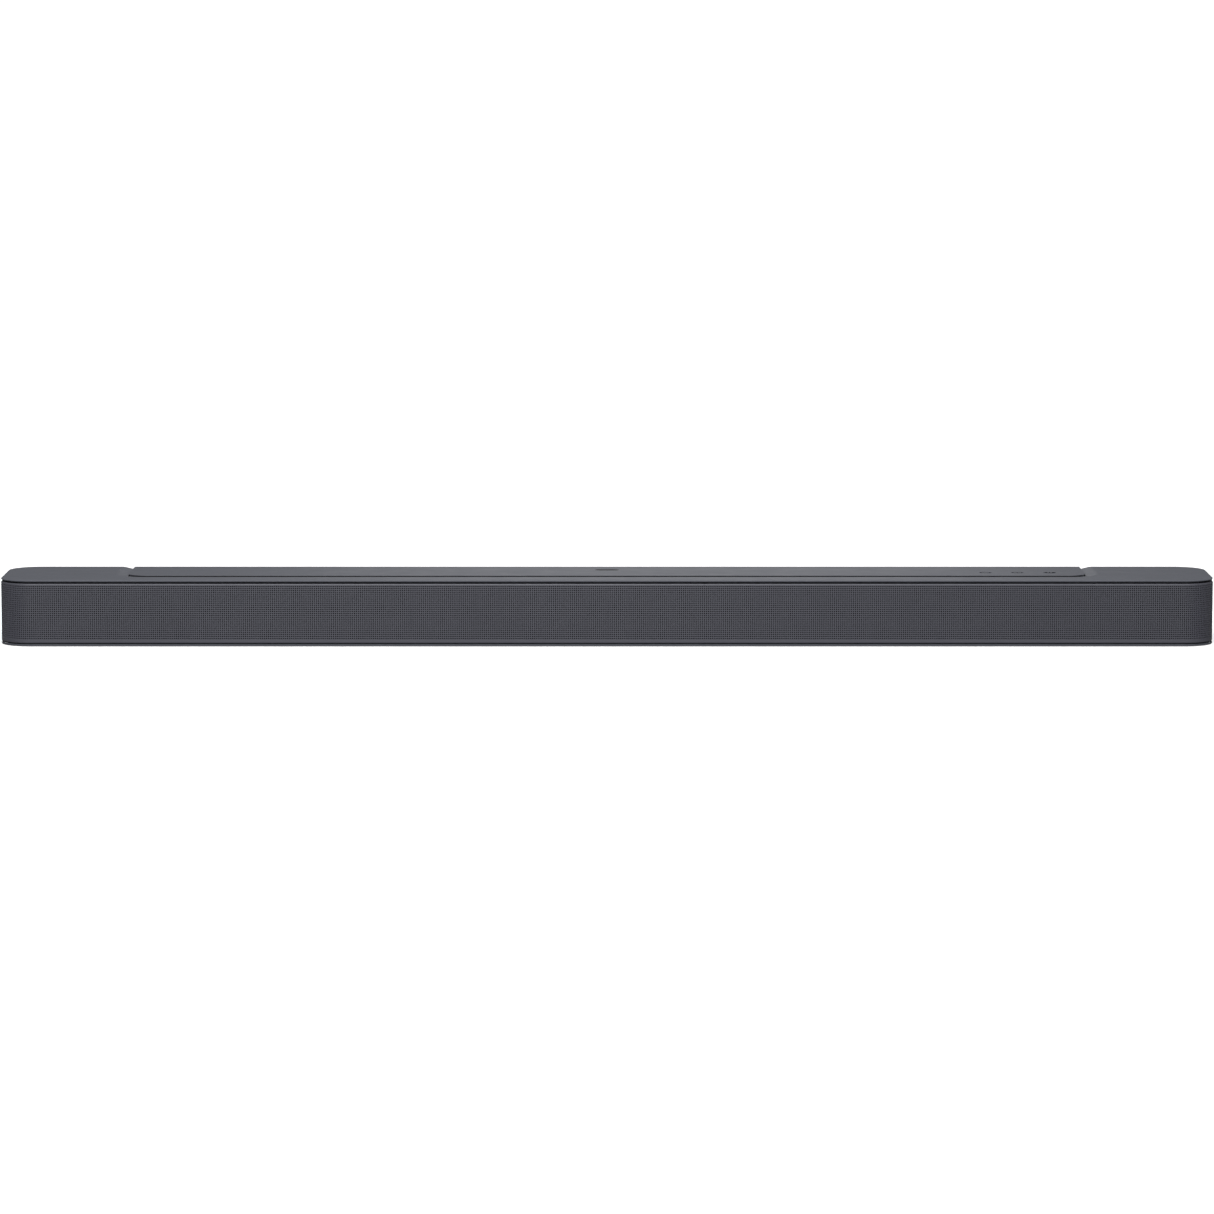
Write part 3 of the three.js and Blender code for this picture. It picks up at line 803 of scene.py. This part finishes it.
def crowned(ring, drop):
    """A ring of the cover lowered by drop, which fades out towards the square back."""
    return [(x, y, z - drop * min(max((CROWN_END - y) / CROWN_FADE, 0), 1)) for x, y, z in ring]


def build_top_cover():
    settings = bpy.context.scene.soundbar_case
    edge, crown = settings.edge / MM, settings.crown / MM
    profile = [(8.0, DECK_FLOOR - 2.0, 0.0), (8.0, COVER_LOW, 0.0), (0.6, COVER_LOW, 0.0),
               (0.38, COVER_LOW + 0.08, 0.0), (0.14, COVER_LOW + 0.45, 0.0), (0.0, COVER_LOW + 0.78, 0.0)]
    profile += [(edge * across, HEIGHT - edge + edge * up, CROWN_FALL) for across, up in quarter(6)]
    for t in (0.08, 0.18, 0.3, 0.45, 0.65, 0.82, 1.0):
        profile.append((edge + (crown - edge) * t, HEIGHT, CROWN_FALL * (1 - t) ** 2))
    rings = [crowned(bar_ring(inset, z), drop) for inset, z, drop in profile]
    cover = make_piece("cover_shell", *loft(rings))
    slope, foot, bend = MOAT_DEPTH / MOAT_WIDTH, HEIGHT - MOAT_DEPTH, 1.5
    start = MOAT_WIDTH - bend
    channel = [(-2.0, foot - 2.0 * slope), (0.0, foot)]
    for t in (0.0, 0.6, 1.2, 1.8, 2.4, 2.9):
        channel.append((start + t, foot + slope * (start + t - t * t / (4 * bend))))
    channel.append((channel[-1][0], HEIGHT + 4.0))
    combine(cover, make_piece("channel", *loft([deck_ring(g, z, BACK + 30.0) for g, z in channel])))
    pocket = [(GAP, DECK_FLOOR), (GAP, HEIGHT + 3.0)]
    combine(cover, make_piece("pocket", *loft([deck_ring(g, z, BACK + 20.0) for g, z in pocket])))
    stem_holes = at_keys([(STEM_HOLE, DECK_FLOOR - 4), (STEM_HOLE, DECK_FLOOR + 2)])
    combine(cover, make_piece("stem_holes", *stem_holes))
    even_shading(cover)
    settle(cover, moulded_slate(), nodes=["top_cover"])


def end_thinned(ring):
    """A ring of the deck, raised at the ends so that the lip is thinner where the gap under it shows most."""
    points = []
    for x, y, z in ring:
        share = min(max((abs(x) - LIP_STEADY) / LIP_TAPER, 0), 1)
        points.append((x, y, max(z, z + (HEIGHT - END_LIP - z) * share)))
    return points


def build_deck():
    edge = bpy.context.scene.soundbar_case.deck_edge / MM
    turn = HEIGHT - edge
    profile = [(-4.0, HEIGHT - LIP), (-1.2, HEIGHT - LIP), (-0.1, turn - 0.1), (0.0, turn - 0.02)]
    profile += [(-edge * across, turn + edge * up) for across, up in quarter(5)]
    rings = [end_thinned(deck_ring(g, z, BACK - 0.05 + g * (g > -1))) for g, z in profile]
    deck = make_piece("deck_plate", *loft(rings))
    # the plinth under the deck's lip is black moulding: painted shade that darkens the gap under the lip,
    # most where it shows at the corners
    rings = [deck_ring(-3.0, z, BACK - 2.6) for z in (DECK_FLOOR + GAP, HEIGHT - LIP - 0.01)]
    shade_plinth = make_piece("deck_shade_plinth", *loft(rings))
    combine(shade_plinth, make_piece("key_wells", *at_keys([(KEY_WELL, 40), (KEY_WELL, HEIGHT + 1)])))
    settle(shade_plinth, black_moulding(), nodes=["top_deck"])
    hole = [(0.0, 40), (0.0, HEIGHT - 0.2), (0.1, HEIGHT - 0.06), (0.3, HEIGHT + 0.1)]
    combine(deck, make_piece("key_holes", *at_keys([(KEY_HOLE + grow, z) for grow, z in hole])))
    badge_low, badge_high = span("deck_badge")
    centre = ((badge_low.x + badge_high.x) / 2, (badge_low.y + badge_high.y) / 2)
    half_length, half_width = (badge_high.x - badge_low.x) / 2, (badge_high.y - badge_low.y) / 2
    bed = [pill_ring(centre, half_length + 0.15, half_width + 0.15, z) for z in (HEIGHT - 0.5, HEIGHT + 1.0)]
    combine(deck, make_piece("badge_bed", *loft(bed)))
    even_shading(deck)
    settle(deck, moulded_slate(), nodes=["top_deck"])

    rounded = [(0.0, 0.48), (0.0, 0.22), (0.06, 0.1), (0.2, 0.03), (0.45, 0.0)]
    rings = [pill_ring(centre, half_length - g, half_width - g, HEIGHT - down) for g, down in rounded]
    settle(make_piece("badge_pill", *loft(rings)), badge_lacquer(), nodes=["deck_badge"])


# ---------------------------------------------------------------- keys
def bar_mark(x, y, half_length, half_width, z0, z1, upright=False):
    if upright:
        half_length, half_width = half_width, half_length
    r = min(half_length, half_width) * 0.9
    flat = round_rect(x - half_length, y - half_width, x + half_length, y + half_width, r, 5)
    return loft([[(px, py, z) for px, py in flat] for z in (z0, z1)])


def arc_mark(x, y, radius, half_width, start, sweep, z0, z1):
    """A printed arc of sweep degrees from start. A full turn comes out as a closed ring."""
    steps = 48
    angles = [math.radians(start + sweep * i / steps) for i in range(steps + 1)]
    rims = []
    for r in (radius + half_width, radius - half_width):
        rims.append([(x + r * math.cos(a), y + r * math.sin(a)) for a in angles])
    flat = rims[0] + rims[1][::-1]
    return loft([[(px, py, z) for px, py in flat] for z in (z0, z1)])


def build_keys():
    settings = bpy.context.scene.soundbar_keys
    half, line = settings.mark / MM / 2, settings.line / MM / 2
    for node in KEY_NODES:
        low, high = span(node)
        place = middle(node)
        x, y, top = place.x, place.y, high.z
        cap = [(STEM, low.z), (STEM, top - 2.0), (KEY_FLANGE, top - 2.0), (KEY_FLANGE, top - 1.4),
               (KEY_CAP, top - 1.4)]
        cap += [(KEY_CAP - 0.3 * across, top - 0.3 + 0.3 * up) for across, up in quarter(4)]
        body = node.replace("_key", "")
        key = make_piece(node.replace("_key", "_button"), *turned(x, y, cap, 64))
        even_shading(key)
        settle(key, moulded_slate(), body, [node])
        z0, z1 = top - 0.1, top + 0.02
        if node == "power_key":
            stroke = bar_mark(x, y + 2.0, 2.1, line * 1.8, z0, z1, upright=True)
            mark = merged(arc_mark(x, y, 3.3, line * 3.0, 132, 276, z0, z1), stroke)
        else:
            ring = arc_mark(x, y, 4.0, line * 1.1, 0, 359.9, z0, z1)
            mark = merged(ring, bar_mark(x, y, half, line, z0, z1))
        if node == "volume_up_key":
            arm = (half - line) / 2
            for side in (-1, 1):
                upright = bar_mark(x, y + side * (line + 0.02 + arm), arm, line, z0, z1, upright=True)
                mark = merged(mark, upright)
        settle(make_piece(node.replace("_key", "_mark"), *mark), key_ink(), body)


# ---------------------------------------------------------------- bottom case, feet and screws
def build_bottom_case():
    edge = 0.35
    rounding = [(edge - edge * math.sin(a), CASE_LOW + edge - edge * math.cos(a))
                for a in (math.pi / 2 * i / 6 for i in range(7))]
    profile = rounding + [(0.0, CASE_TOP - 0.2), (0.15, CASE_TOP - 0.04), (0.3, CASE_TOP)]
    profile += [(5.0, CASE_TOP), (5.0, CASE_TOP + 1.8), (6.6, CASE_TOP + 1.8), (6.6, CASE_TOP)]
    case = make_piece("case_tray", *loft([bar_ring(inset, z) for inset, z in profile]))
    recesses = []
    for node in FOOT_NODES:
        low, high = span(node)
        place = middle(node)
        half_length, half_width = (high.x - low.x) / 2 + GAP, (high.y - low.y) / 2 + GAP
        rings = [pill_ring((place.x, place.y), half_length, half_width, z) for z in (-1.0, CASE_LOW + 1.2)]
        recesses.append(loft(rings))
    counterbore = [(3.9, -1.0), (3.9, CASE_LOW - 0.01), (3.4, CASE_LOW + 0.4), (3.4, CASE_LOW + 1.9)]
    for node in SCREW_NODES:
        place = middle(node)
        recesses.append(turned(place.x, place.y, counterbore, 32))
    combine(case, make_piece("case_recesses", *merged(*recesses)))
    even_shading(case)
    settle(case, moulded_slate(), nodes=["bottom_case"])


def build_feet():
    for node in FOOT_NODES:
        low, high = span(node)
        place = middle(node)
        half_length, half_width = (high.x - low.x) / 2, (high.y - low.y) / 2
        profile = [(2.8, 0.0), (2.7, 0.05), (2.5, 0.22), (2.0, 0.22), (1.8, 0.05), (1.7, 0.0), (0.5, 0.0),
                   (0.15, 0.12), (0.0, 0.45), (0.0, high.z)]
        centre = (place.x, place.y)
        rings = [pill_ring(centre, half_length - inset, half_width - inset, z, 10) for inset, z in profile]
        foot = make_piece(f"{node}_pad", *loft(rings))
        settle(foot, foot_rubber(), nodes=[node])


def build_screws():
    for node in SCREW_NODES:
        low, high = span(node)
        place = middle(node)
        x, y = place.x, place.y
        profile = [(1.9, low.z), (2.5, low.z + 0.15), (2.85, low.z + 0.6), (2.85, low.z + 1.9),
                   (1.35, low.z + 2.0), (1.35, high.z - 1.5), (0.6, high.z)]
        screw = make_piece(f"{node}_fastener", *turned(x, y, profile, 32))
        for half_x, half_y in ((1.5, 0.28), (0.28, 1.5)):
            slot = box(x - half_x, y - half_y, low.z - 1, x + half_x, y + half_y, low.z + 1.1)
            combine(screw, make_piece("cross_slot", *slot))
        settle(screw, black_screw_plate(), nodes=[node])


# ---------------------------------------------------------------- rear panel and sockets
def rear_run(inset, z):
    """Points round the back of the bar from its right end to its left end."""
    r = CORNER - inset
    points = [(WIDTH / 2 - inset, WRAP_END, z)]
    for cx, start in ((WIDTH / 2 - CORNER, 0), (-WIDTH / 2 + CORNER, 90)):
        for i in range(ARC_STEPS + 1):
            a = math.radians(start + 90 * i / ARC_STEPS)
            points.append((cx + r * math.cos(a), WRAP_END + r * math.sin(a), z))
    points.append((-WIDTH / 2 + inset, WRAP_END, z))
    return points


def window(x0, z0, x1, z1, r, steps_in):
    """An upright hole with round corners through y, as (grow, y) steps."""
    rings = []
    for grow, y in steps_in:
        flat = round_rect(x0 - grow, z0 - grow, x1 + grow, z1 + grow, r + grow, 8)
        rings.append([(x, y, z) for x, z in flat])
    return loft(rings)


def build_rear_panel():
    low, high = span("rear_panel")
    section = [(2.2, low.z), (0.5, low.z), (0.15, low.z + 0.12), (0.0, low.z + 0.45), (0.0, high.z - 0.45),
               (0.15, high.z - 0.12), (0.5, high.z), (2.2, high.z)]
    runs = [rear_run(inset, z) for inset, z in section]
    panel = make_piece("rear_wall", *loft([[run[i] for run in runs] for i in range(len(runs[0]))]))
    inner = SOCKET_FACE
    shell = box(-IO_HALF - 2.2, inner - 2.2, IO_LOW - 2.2, IO_HALF + 2.2, BACK - 1.0, IO_HIGH + 2.2)
    combine(panel, make_piece("recess_shell", *shell), "UNION")
    flare = [(0.0, inner), (0.0, BACK - 1.2), (0.35, BACK - 0.5), (1.2, BACK + 0.1), (2.0, BACK + 1.0)]
    mouth = window(-IO_HALF, IO_LOW, IO_HALF, IO_HIGH, 2.5, flare)
    combine(panel, make_piece("recess", *mouth))
    windows = []
    for node in SOCKET_NODES:
        a, b = span(node)
        through = [(0.0, inner - 5), (0.0, inner + 1)]
        windows.append(window(a.x - 0.15, a.z - 0.15, b.x + 0.15, b.z + 0.15, 0.5, through))
    combine(panel, make_piece("socket_windows", *merged(*windows)))
    for node in INSERT_NODES:
        place = middle(node)
        boss = along_y(turned(place.x, place.z, [(8.0, BACK - 12.0), (8.0, BACK - 1.0)]))
        combine(panel, make_piece("boss", *boss), "UNION")
        seat = along_y(turned(place.x, place.z, [(4.4, BACK - 13.0), (4.4, BACK - 0.4), (5.0, BACK + 0.2)]))
        combine(panel, make_piece("seat", *seat))
    even_shading(panel)
    settle(panel, moulded_slate(), nodes=["rear_panel"])


def socket_size(node):
    low, high = span(node)
    place = middle(node)
    return place.x, place.z, (high.x - low.x) / 2, (high.z - low.z) / 2


def metal_liner(name, x, z, half_width, half_height, depth, taper=0.0):
    """A folded metal shell inside a socket's mouth. taper draws in its lower corners."""
    def outline(grow, y):
        w, h = half_width + grow, half_height + grow
        t = taper
        flat = [(-w, h), (-w, -h + t), (-w + t, -h), (w - t, -h), (w, -h + t), (w, h)]
        return [(x + px, y, z + pz) for px, pz in flat]

    face = SOCKET_FACE
    steps = ((0, face + 0.4), (0, face - depth), (-0.35, face - depth), (-0.35, face + 0.4))
    rings = [outline(grow, y) for grow, y in steps]
    points, faces = loft(rings, caps=False)
    count = len(rings[0])
    faces += [(3 * count + i, 3 * count + (i + 1) % count, (i + 1) % count, i) for i in range(count)]
    liner = make_piece(name, points, faces)
    settle(liner, nickel_plate())
    return liner


def contact_row(name, x, z, count, spread, width, y0, y1, thickness):
    strips = [
        box(x - spread / 2 + spread * i / max(count - 1, 1) - width / 2, y0, z - thickness / 2,
            x - spread / 2 + spread * i / max(count - 1, 1) + width / 2, y1, z + thickness / 2)
        for i in range(count)
    ]
    settle(make_piece(name, *merged(*strips)), contact_gold())


def build_sockets():
    face = SOCKET_FACE
    for node in VIDEO_NODES:
        x, z, _, _ = socket_size(node)
        label = node.replace("_socket", "")
        metal_liner(f"{label}_liner", x, z, 6.9, 2.3, 9.6, 1.2)
        tongue = box(x - 5.6, face - 9.8, z - 0.1, x + 5.6, face - 1.6, z + 0.7)
        settle(make_piece(f"{label}_tongue", *tongue), black_moulding())
        contact_row(f"{label}_upper_contacts", x, z + 0.74, 10, 9.4, 0.4, face - 9.0, face - 2.0, 0.1)
        contact_row(f"{label}_lower_contacts", x, z - 0.14, 9, 8.5, 0.4, face - 9.0, face - 2.0, 0.1)

    x, z, _, _ = socket_size("usb_socket")
    metal_liner("usb_liner", x, z, 6.2, 2.5, 10.6)
    tongue = make_piece("usb_tongue", *box(x - 5.4, face - 10.8, z + 0.2, x + 5.4, face - 1.8, z + 1.7))
    settle(tongue, black_moulding())
    contact_row("usb_contacts", x, z + 0.16, 4, 7.0, 1.1, face - 10.0, face - 2.4, 0.1)

    x, z, _, _ = socket_size("network_socket")
    contact_row("network_contacts", x, z + 2.6, 8, 7.2, 0.45, face - 11.0, face - 2.0, 0.3)
    step = box(x - 3.2, face - 11.8, z - 3.9, x + 3.2, face - 5.0, z - 3.2)
    settle(make_piece("network_latch_step", *step), black_moulding())

    x, z, _, _ = socket_size("optical_socket")
    through = [(0.0, face - 2.4), (0.0, face - 1.6), (-0.3, face - 1.3)]
    flap = window(x - 4.5, z - 4.5, x + 4.5, z + 4.5, 1.0, through)
    settle(make_piece("optical_shutter", *flap), black_moulding())

    x, z, _, _ = socket_size("mains_inlet")
    sides = (x - PIN_OUT, x + PIN_OUT)
    pin = [(1.2, face - 11.9), (1.2, face - 3.2), (0.9, face - 2.6), (0.4, face - 2.3)]
    pins = merged(*(along_y(turned(side, z, pin, 24)) for side in sides))
    settle(make_piece("mains_pins", *pins), nickel_plate())
    through = [(0.0, face - 11.5), (0.0, face - 0.3)]
    shroud = make_piece("mains_shroud", *window(x - 8.4, z - 4.2, x + 8.4, z + 4.2, 0.4, through))
    lobe = [(3.75, face - 10.5), (3.75, face - 0.8), (4.05, face + 0.3)]
    for side in sides:
        combine(shroud, make_piece("lobe", *along_y(turned(side, z, lobe, 40))))
    combine(shroud, make_piece("waist", *box(x - 4, face - 10.5, z - 2.9, x + 4, face + 1, z + 2.9)))
    settle(shroud, black_moulding())


def finish_inner_parts():
    """Gives every CAD node that still shows its own finish."""
    for part in frame["record"]["subparts"]:
        node = frame["nodes"][part["node"]]
        if node.hide_render:
            continue
        material = SLOT_FINISHES[part["material_slot"]]()
        for held in node.material_slots:
            held.material = material


# ---------------------------------------------------------------- stage
BACKDROP = 1.05  # how bright the background shows
FLOOR_BOUNCE = 0.18  # the share of its tone that the floor throws back at the bar
FLOOR_LIFT = 0.35  # glow that keeps the floor white to the camera


def aim(thing, target):
    direction = Vector(target) - thing.location
    thing.rotation_euler = direction.to_track_quat("-Z", "Y").to_euler()


def soft_box(name, place, target, size, power):
    """A rectangular soft light. size is (across, up) in metres."""
    data = bpy.data.lights.new(name, "AREA")
    data.shape = "RECTANGLE"
    data.size, data.size_y = size
    data.energy = power
    light = bpy.data.objects.new(name, data)
    bpy.context.scene.collection.objects.link(light)
    light.location = place
    aim(light, target)


def ramp(tree, value, low, high, bottom, top):
    """Runs smoothly from bottom to top as value goes from low to high."""
    node = tree.nodes.new("ShaderNodeMapRange")
    node.interpolation_type = "SMOOTHSTEP"
    tree.links.new(value, node.inputs["Value"])
    for label, number in (("From Min", low), ("From Max", high), ("To Min", bottom), ("To Max", top)):
        node.inputs[label].default_value = number
    return node.outputs["Result"]


def added(tree, first, second):
    node = math_node(tree, "ADD")
    tree.links.new(first, node.inputs[0])
    tree.links.new(second, node.inputs[1])
    return node.outputs["Value"]


def studio_world(strength):
    """Soft light that is strongest from the front, weaker from above and weakest from the ends and the back,
    with plain white where the camera looks past the bar."""
    world = bpy.data.worlds.new("studio")
    world.use_nodes = True
    tree = world.node_tree
    background = tree.nodes["Background"]
    coordinates = tree.nodes.new("ShaderNodeTexCoord")
    axes = tree.nodes.new("ShaderNodeSeparateXYZ")
    wire(tree, coordinates, "Generated", axes, "Vector")
    front = ramp(tree, axes.outputs["Y"], -1.0, -0.6, 0.95 * strength, 0.0)
    above = ramp(tree, axes.outputs["Z"], 0.12, 0.95, 0.1 * strength, 0.65 * strength)
    light = added(tree, front, above)
    path = tree.nodes.new("ShaderNodeLightPath")
    seen = tree.nodes.new("ShaderNodeMix")
    wire(tree, path, "Is Camera Ray", seen, "Factor")
    tree.links.new(light, seen.inputs["A"])
    put(seen, B=BACKDROP)
    wire(tree, seen, "Result", background, "Strength")
    put(background, Color=(1.0, 1.0, 1.0, 1.0))
    return world


def pale_paper(tone):
    """Paper that looks white, and throws less light up at the bar's ends than it shows."""
    paper = bpy.data.materials.new("pale_paper")
    paper.use_nodes = True
    tree = paper.node_tree
    shader = tree.nodes["Principled BSDF"]
    put(shader, Roughness=0.9, Specular_IOR_Level=0.1)
    path = tree.nodes.new("ShaderNodeLightPath")
    shade = tree.nodes.new("ShaderNodeMix")
    shade.data_type = "RGBA"
    put(shade, A=(*(FLOOR_BOUNCE * channel for channel in tone), 1.0), B=(*tone, 1.0))
    lift = math_node(tree, "MULTIPLY")
    lift.inputs[1].default_value = FLOOR_LIFT
    wire(tree, path, "Is Camera Ray", shade, "Factor")
    wire(tree, shade, "Result", shader, "Base Color")
    wire(tree, path, "Is Camera Ray", lift, 0)
    wire(tree, lift, "Value", shader, "Emission Strength")
    put(shader, Emission_Color=(1.0, 1.0, 1.0, 1.0))
    return paper


def build_stage():
    settings = bpy.context.scene.soundbar_stage
    scene = bpy.context.scene
    scene.view_settings.view_transform = "Standard"

    mesh = bpy.data.meshes.new("floor")
    far = 60.0
    mesh.from_pydata([(-far, -far, 0), (far, -far, 0), (far, far, 0), (-far, far, 0)], [], [(0, 1, 2, 3)])
    floor = bpy.data.objects.new("floor", mesh)
    scene.collection.objects.link(floor)
    mesh.materials.append(pale_paper(settings.floor))

    scene.world = studio_world(settings.surround)
    sun_data = bpy.data.lights.new("overhead_sun", "SUN")
    sun_data.energy = settings.overhead
    sun_data.angle = math.radians(70)
    sun = bpy.data.objects.new("overhead_sun", sun_data)
    scene.collection.objects.link(sun)
    sun.location = (0, -1, 3)
    aim(sun, (0, 0, 0))
    soft_box("front_soft_box", (-0.15, -1.3, 0.9), (-0.05, 0, 0.02), (0.9, 0.5), settings.key)
    soft_box("back_soft_box", (0.08, 2.2, 0.75), (0, 0, 0.05), (0.9, 0.6), settings.glow)
    # kept below the deck, so it reaches the rear panel and its sockets but not the top
    soft_box("rear_strip", (0, 1.7, 0.028), (0, 0, 0.028), (2.4, 0.04), settings.fill)

    data = bpy.data.cameras.new("camera")
    data.sensor_width = 36.0
    data.lens = settings.lens
    data.shift_y = 0.0053
    camera = bpy.data.objects.new("camera", data)
    scene.collection.objects.link(camera)
    target = Vector((0, FRONT * MM, HEIGHT * MM / 2))
    e = settings.elevation
    camera.location = target + settings.distance * Vector((0, -math.cos(e), math.sin(e)))
    aim(camera, target)
    scene.camera = camera


# ---------------------------------------------------------------- operators
class SOUNDBAR_OT_stage(bpy.types.Operator):
    """Make the floor, the soft lights and the camera"""

    bl_idname = "soundbar.stage"
    bl_label = "Stage"

    def execute(self, context):
        build_stage()
        return {"FINISHED"}


class SOUNDBAR_OT_grille(bpy.types.Operator):
    """Make the perforated grille that wraps the front and both ends"""

    bl_idname = "soundbar.grille"
    bl_label = "Grille"

    def execute(self, context):
        build_grille()
        return {"FINISHED"}


class SOUNDBAR_OT_top_cover(bpy.types.Operator):
    """Make the top cover with the sloped channel round the deck"""

    bl_idname = "soundbar.top_cover"
    bl_label = "Top Cover"

    def execute(self, context):
        build_top_cover()
        return {"FINISHED"}


class SOUNDBAR_OT_deck(bpy.types.Operator):
    """Make the raised deck and its blank badge"""

    bl_idname = "soundbar.deck"
    bl_label = "Deck and Badge"

    def execute(self, context):
        build_deck()
        return {"FINISHED"}


class SOUNDBAR_OT_keys(bpy.types.Operator):
    """Make the three round keys and their printed marks"""

    bl_idname = "soundbar.keys"
    bl_label = "Keys"

    def execute(self, context):
        build_keys()
        return {"FINISHED"}


class SOUNDBAR_OT_bottom_case(bpy.types.Operator):
    """Make the bottom case"""

    bl_idname = "soundbar.bottom_case"
    bl_label = "Bottom Case"

    def execute(self, context):
        build_bottom_case()
        return {"FINISHED"}


class SOUNDBAR_OT_feet(bpy.types.Operator):
    """Make the four rubber feet"""

    bl_idname = "soundbar.feet"
    bl_label = "Feet"

    def execute(self, context):
        build_feet()
        return {"FINISHED"}


class SOUNDBAR_OT_screws(bpy.types.Operator):
    """Make the case screws with their cross recesses"""

    bl_idname = "soundbar.screws"
    bl_label = "Case Screws"

    def execute(self, context):
        build_screws()
        return {"FINISHED"}


class SOUNDBAR_OT_rear_panel(bpy.types.Operator):
    """Make the rear panel with its socket recess"""

    bl_idname = "soundbar.rear_panel"
    bl_label = "Rear Panel"

    def execute(self, context):
        build_rear_panel()
        return {"FINISHED"}


class SOUNDBAR_OT_sockets(bpy.types.Operator):
    """Make the liners, tongues, contacts and pins inside the sockets"""

    bl_idname = "soundbar.sockets"
    bl_label = "Sockets"

    def execute(self, context):
        build_sockets()
        return {"FINISHED"}


class SOUNDBAR_OT_inner_parts(bpy.types.Operator):
    """Give the drivers, boards and other inner parts their finishes"""

    bl_idname = "soundbar.inner_parts"
    bl_label = "Inner Parts"

    def execute(self, context):
        finish_inner_parts()
        return {"FINISHED"}


class SOUNDBAR_PT_panel(bpy.types.Panel):
    """Settings and builders of the soundbar"""

    bl_idname = "SOUNDBAR_PT_panel"
    bl_label = "Soundbar"
    bl_space_type = "VIEW_3D"
    bl_region_type = "UI"
    bl_category = "Soundbar"

    def draw(self, context):
        for name in SETTINGS:
            group = getattr(context.scene, name)
            for key in group.bl_rna.properties.keys():
                if key not in {"rna_type", "name"}:
                    self.layout.prop(group, key)
        for operator in OPERATORS:
            self.layout.operator(operator.bl_idname)


SETTINGS = {
    "soundbar_grille": GrilleSettings,
    "soundbar_case": CaseSettings,
    "soundbar_keys": KeySettings,
    "soundbar_stage": StageSettings,
}
OPERATORS = (
    SOUNDBAR_OT_stage,
    SOUNDBAR_OT_grille,
    SOUNDBAR_OT_top_cover,
    SOUNDBAR_OT_deck,
    SOUNDBAR_OT_keys,
    SOUNDBAR_OT_bottom_case,
    SOUNDBAR_OT_feet,
    SOUNDBAR_OT_screws,
    SOUNDBAR_OT_rear_panel,
    SOUNDBAR_OT_sockets,
    SOUNDBAR_OT_inner_parts,
)


def register():
    for name, settings in SETTINGS.items():
        bpy.utils.register_class(settings)
        setattr(bpy.types.Scene, name, PointerProperty(type=settings))
    for operator in OPERATORS:
        bpy.utils.register_class(operator)
    bpy.utils.register_class(SOUNDBAR_PT_panel)


def unregister():
    bpy.utils.unregister_class(SOUNDBAR_PT_panel)
    for operator in reversed(OPERATORS):
        bpy.utils.unregister_class(operator)
    for name, settings in SETTINGS.items():
        delattr(bpy.types.Scene, name)
        bpy.utils.unregister_class(settings)


def main():
    register()
    bpy.ops.soundbar.stage()
    bpy.ops.soundbar.grille()
    bpy.ops.soundbar.top_cover()
    bpy.ops.soundbar.deck()
    bpy.ops.soundbar.keys()
    bpy.ops.soundbar.bottom_case()
    bpy.ops.soundbar.feet()
    bpy.ops.soundbar.screws()
    bpy.ops.soundbar.rear_panel()
    bpy.ops.soundbar.sockets()
    bpy.ops.soundbar.inner_parts()


if __name__ == "__main__":
    main()
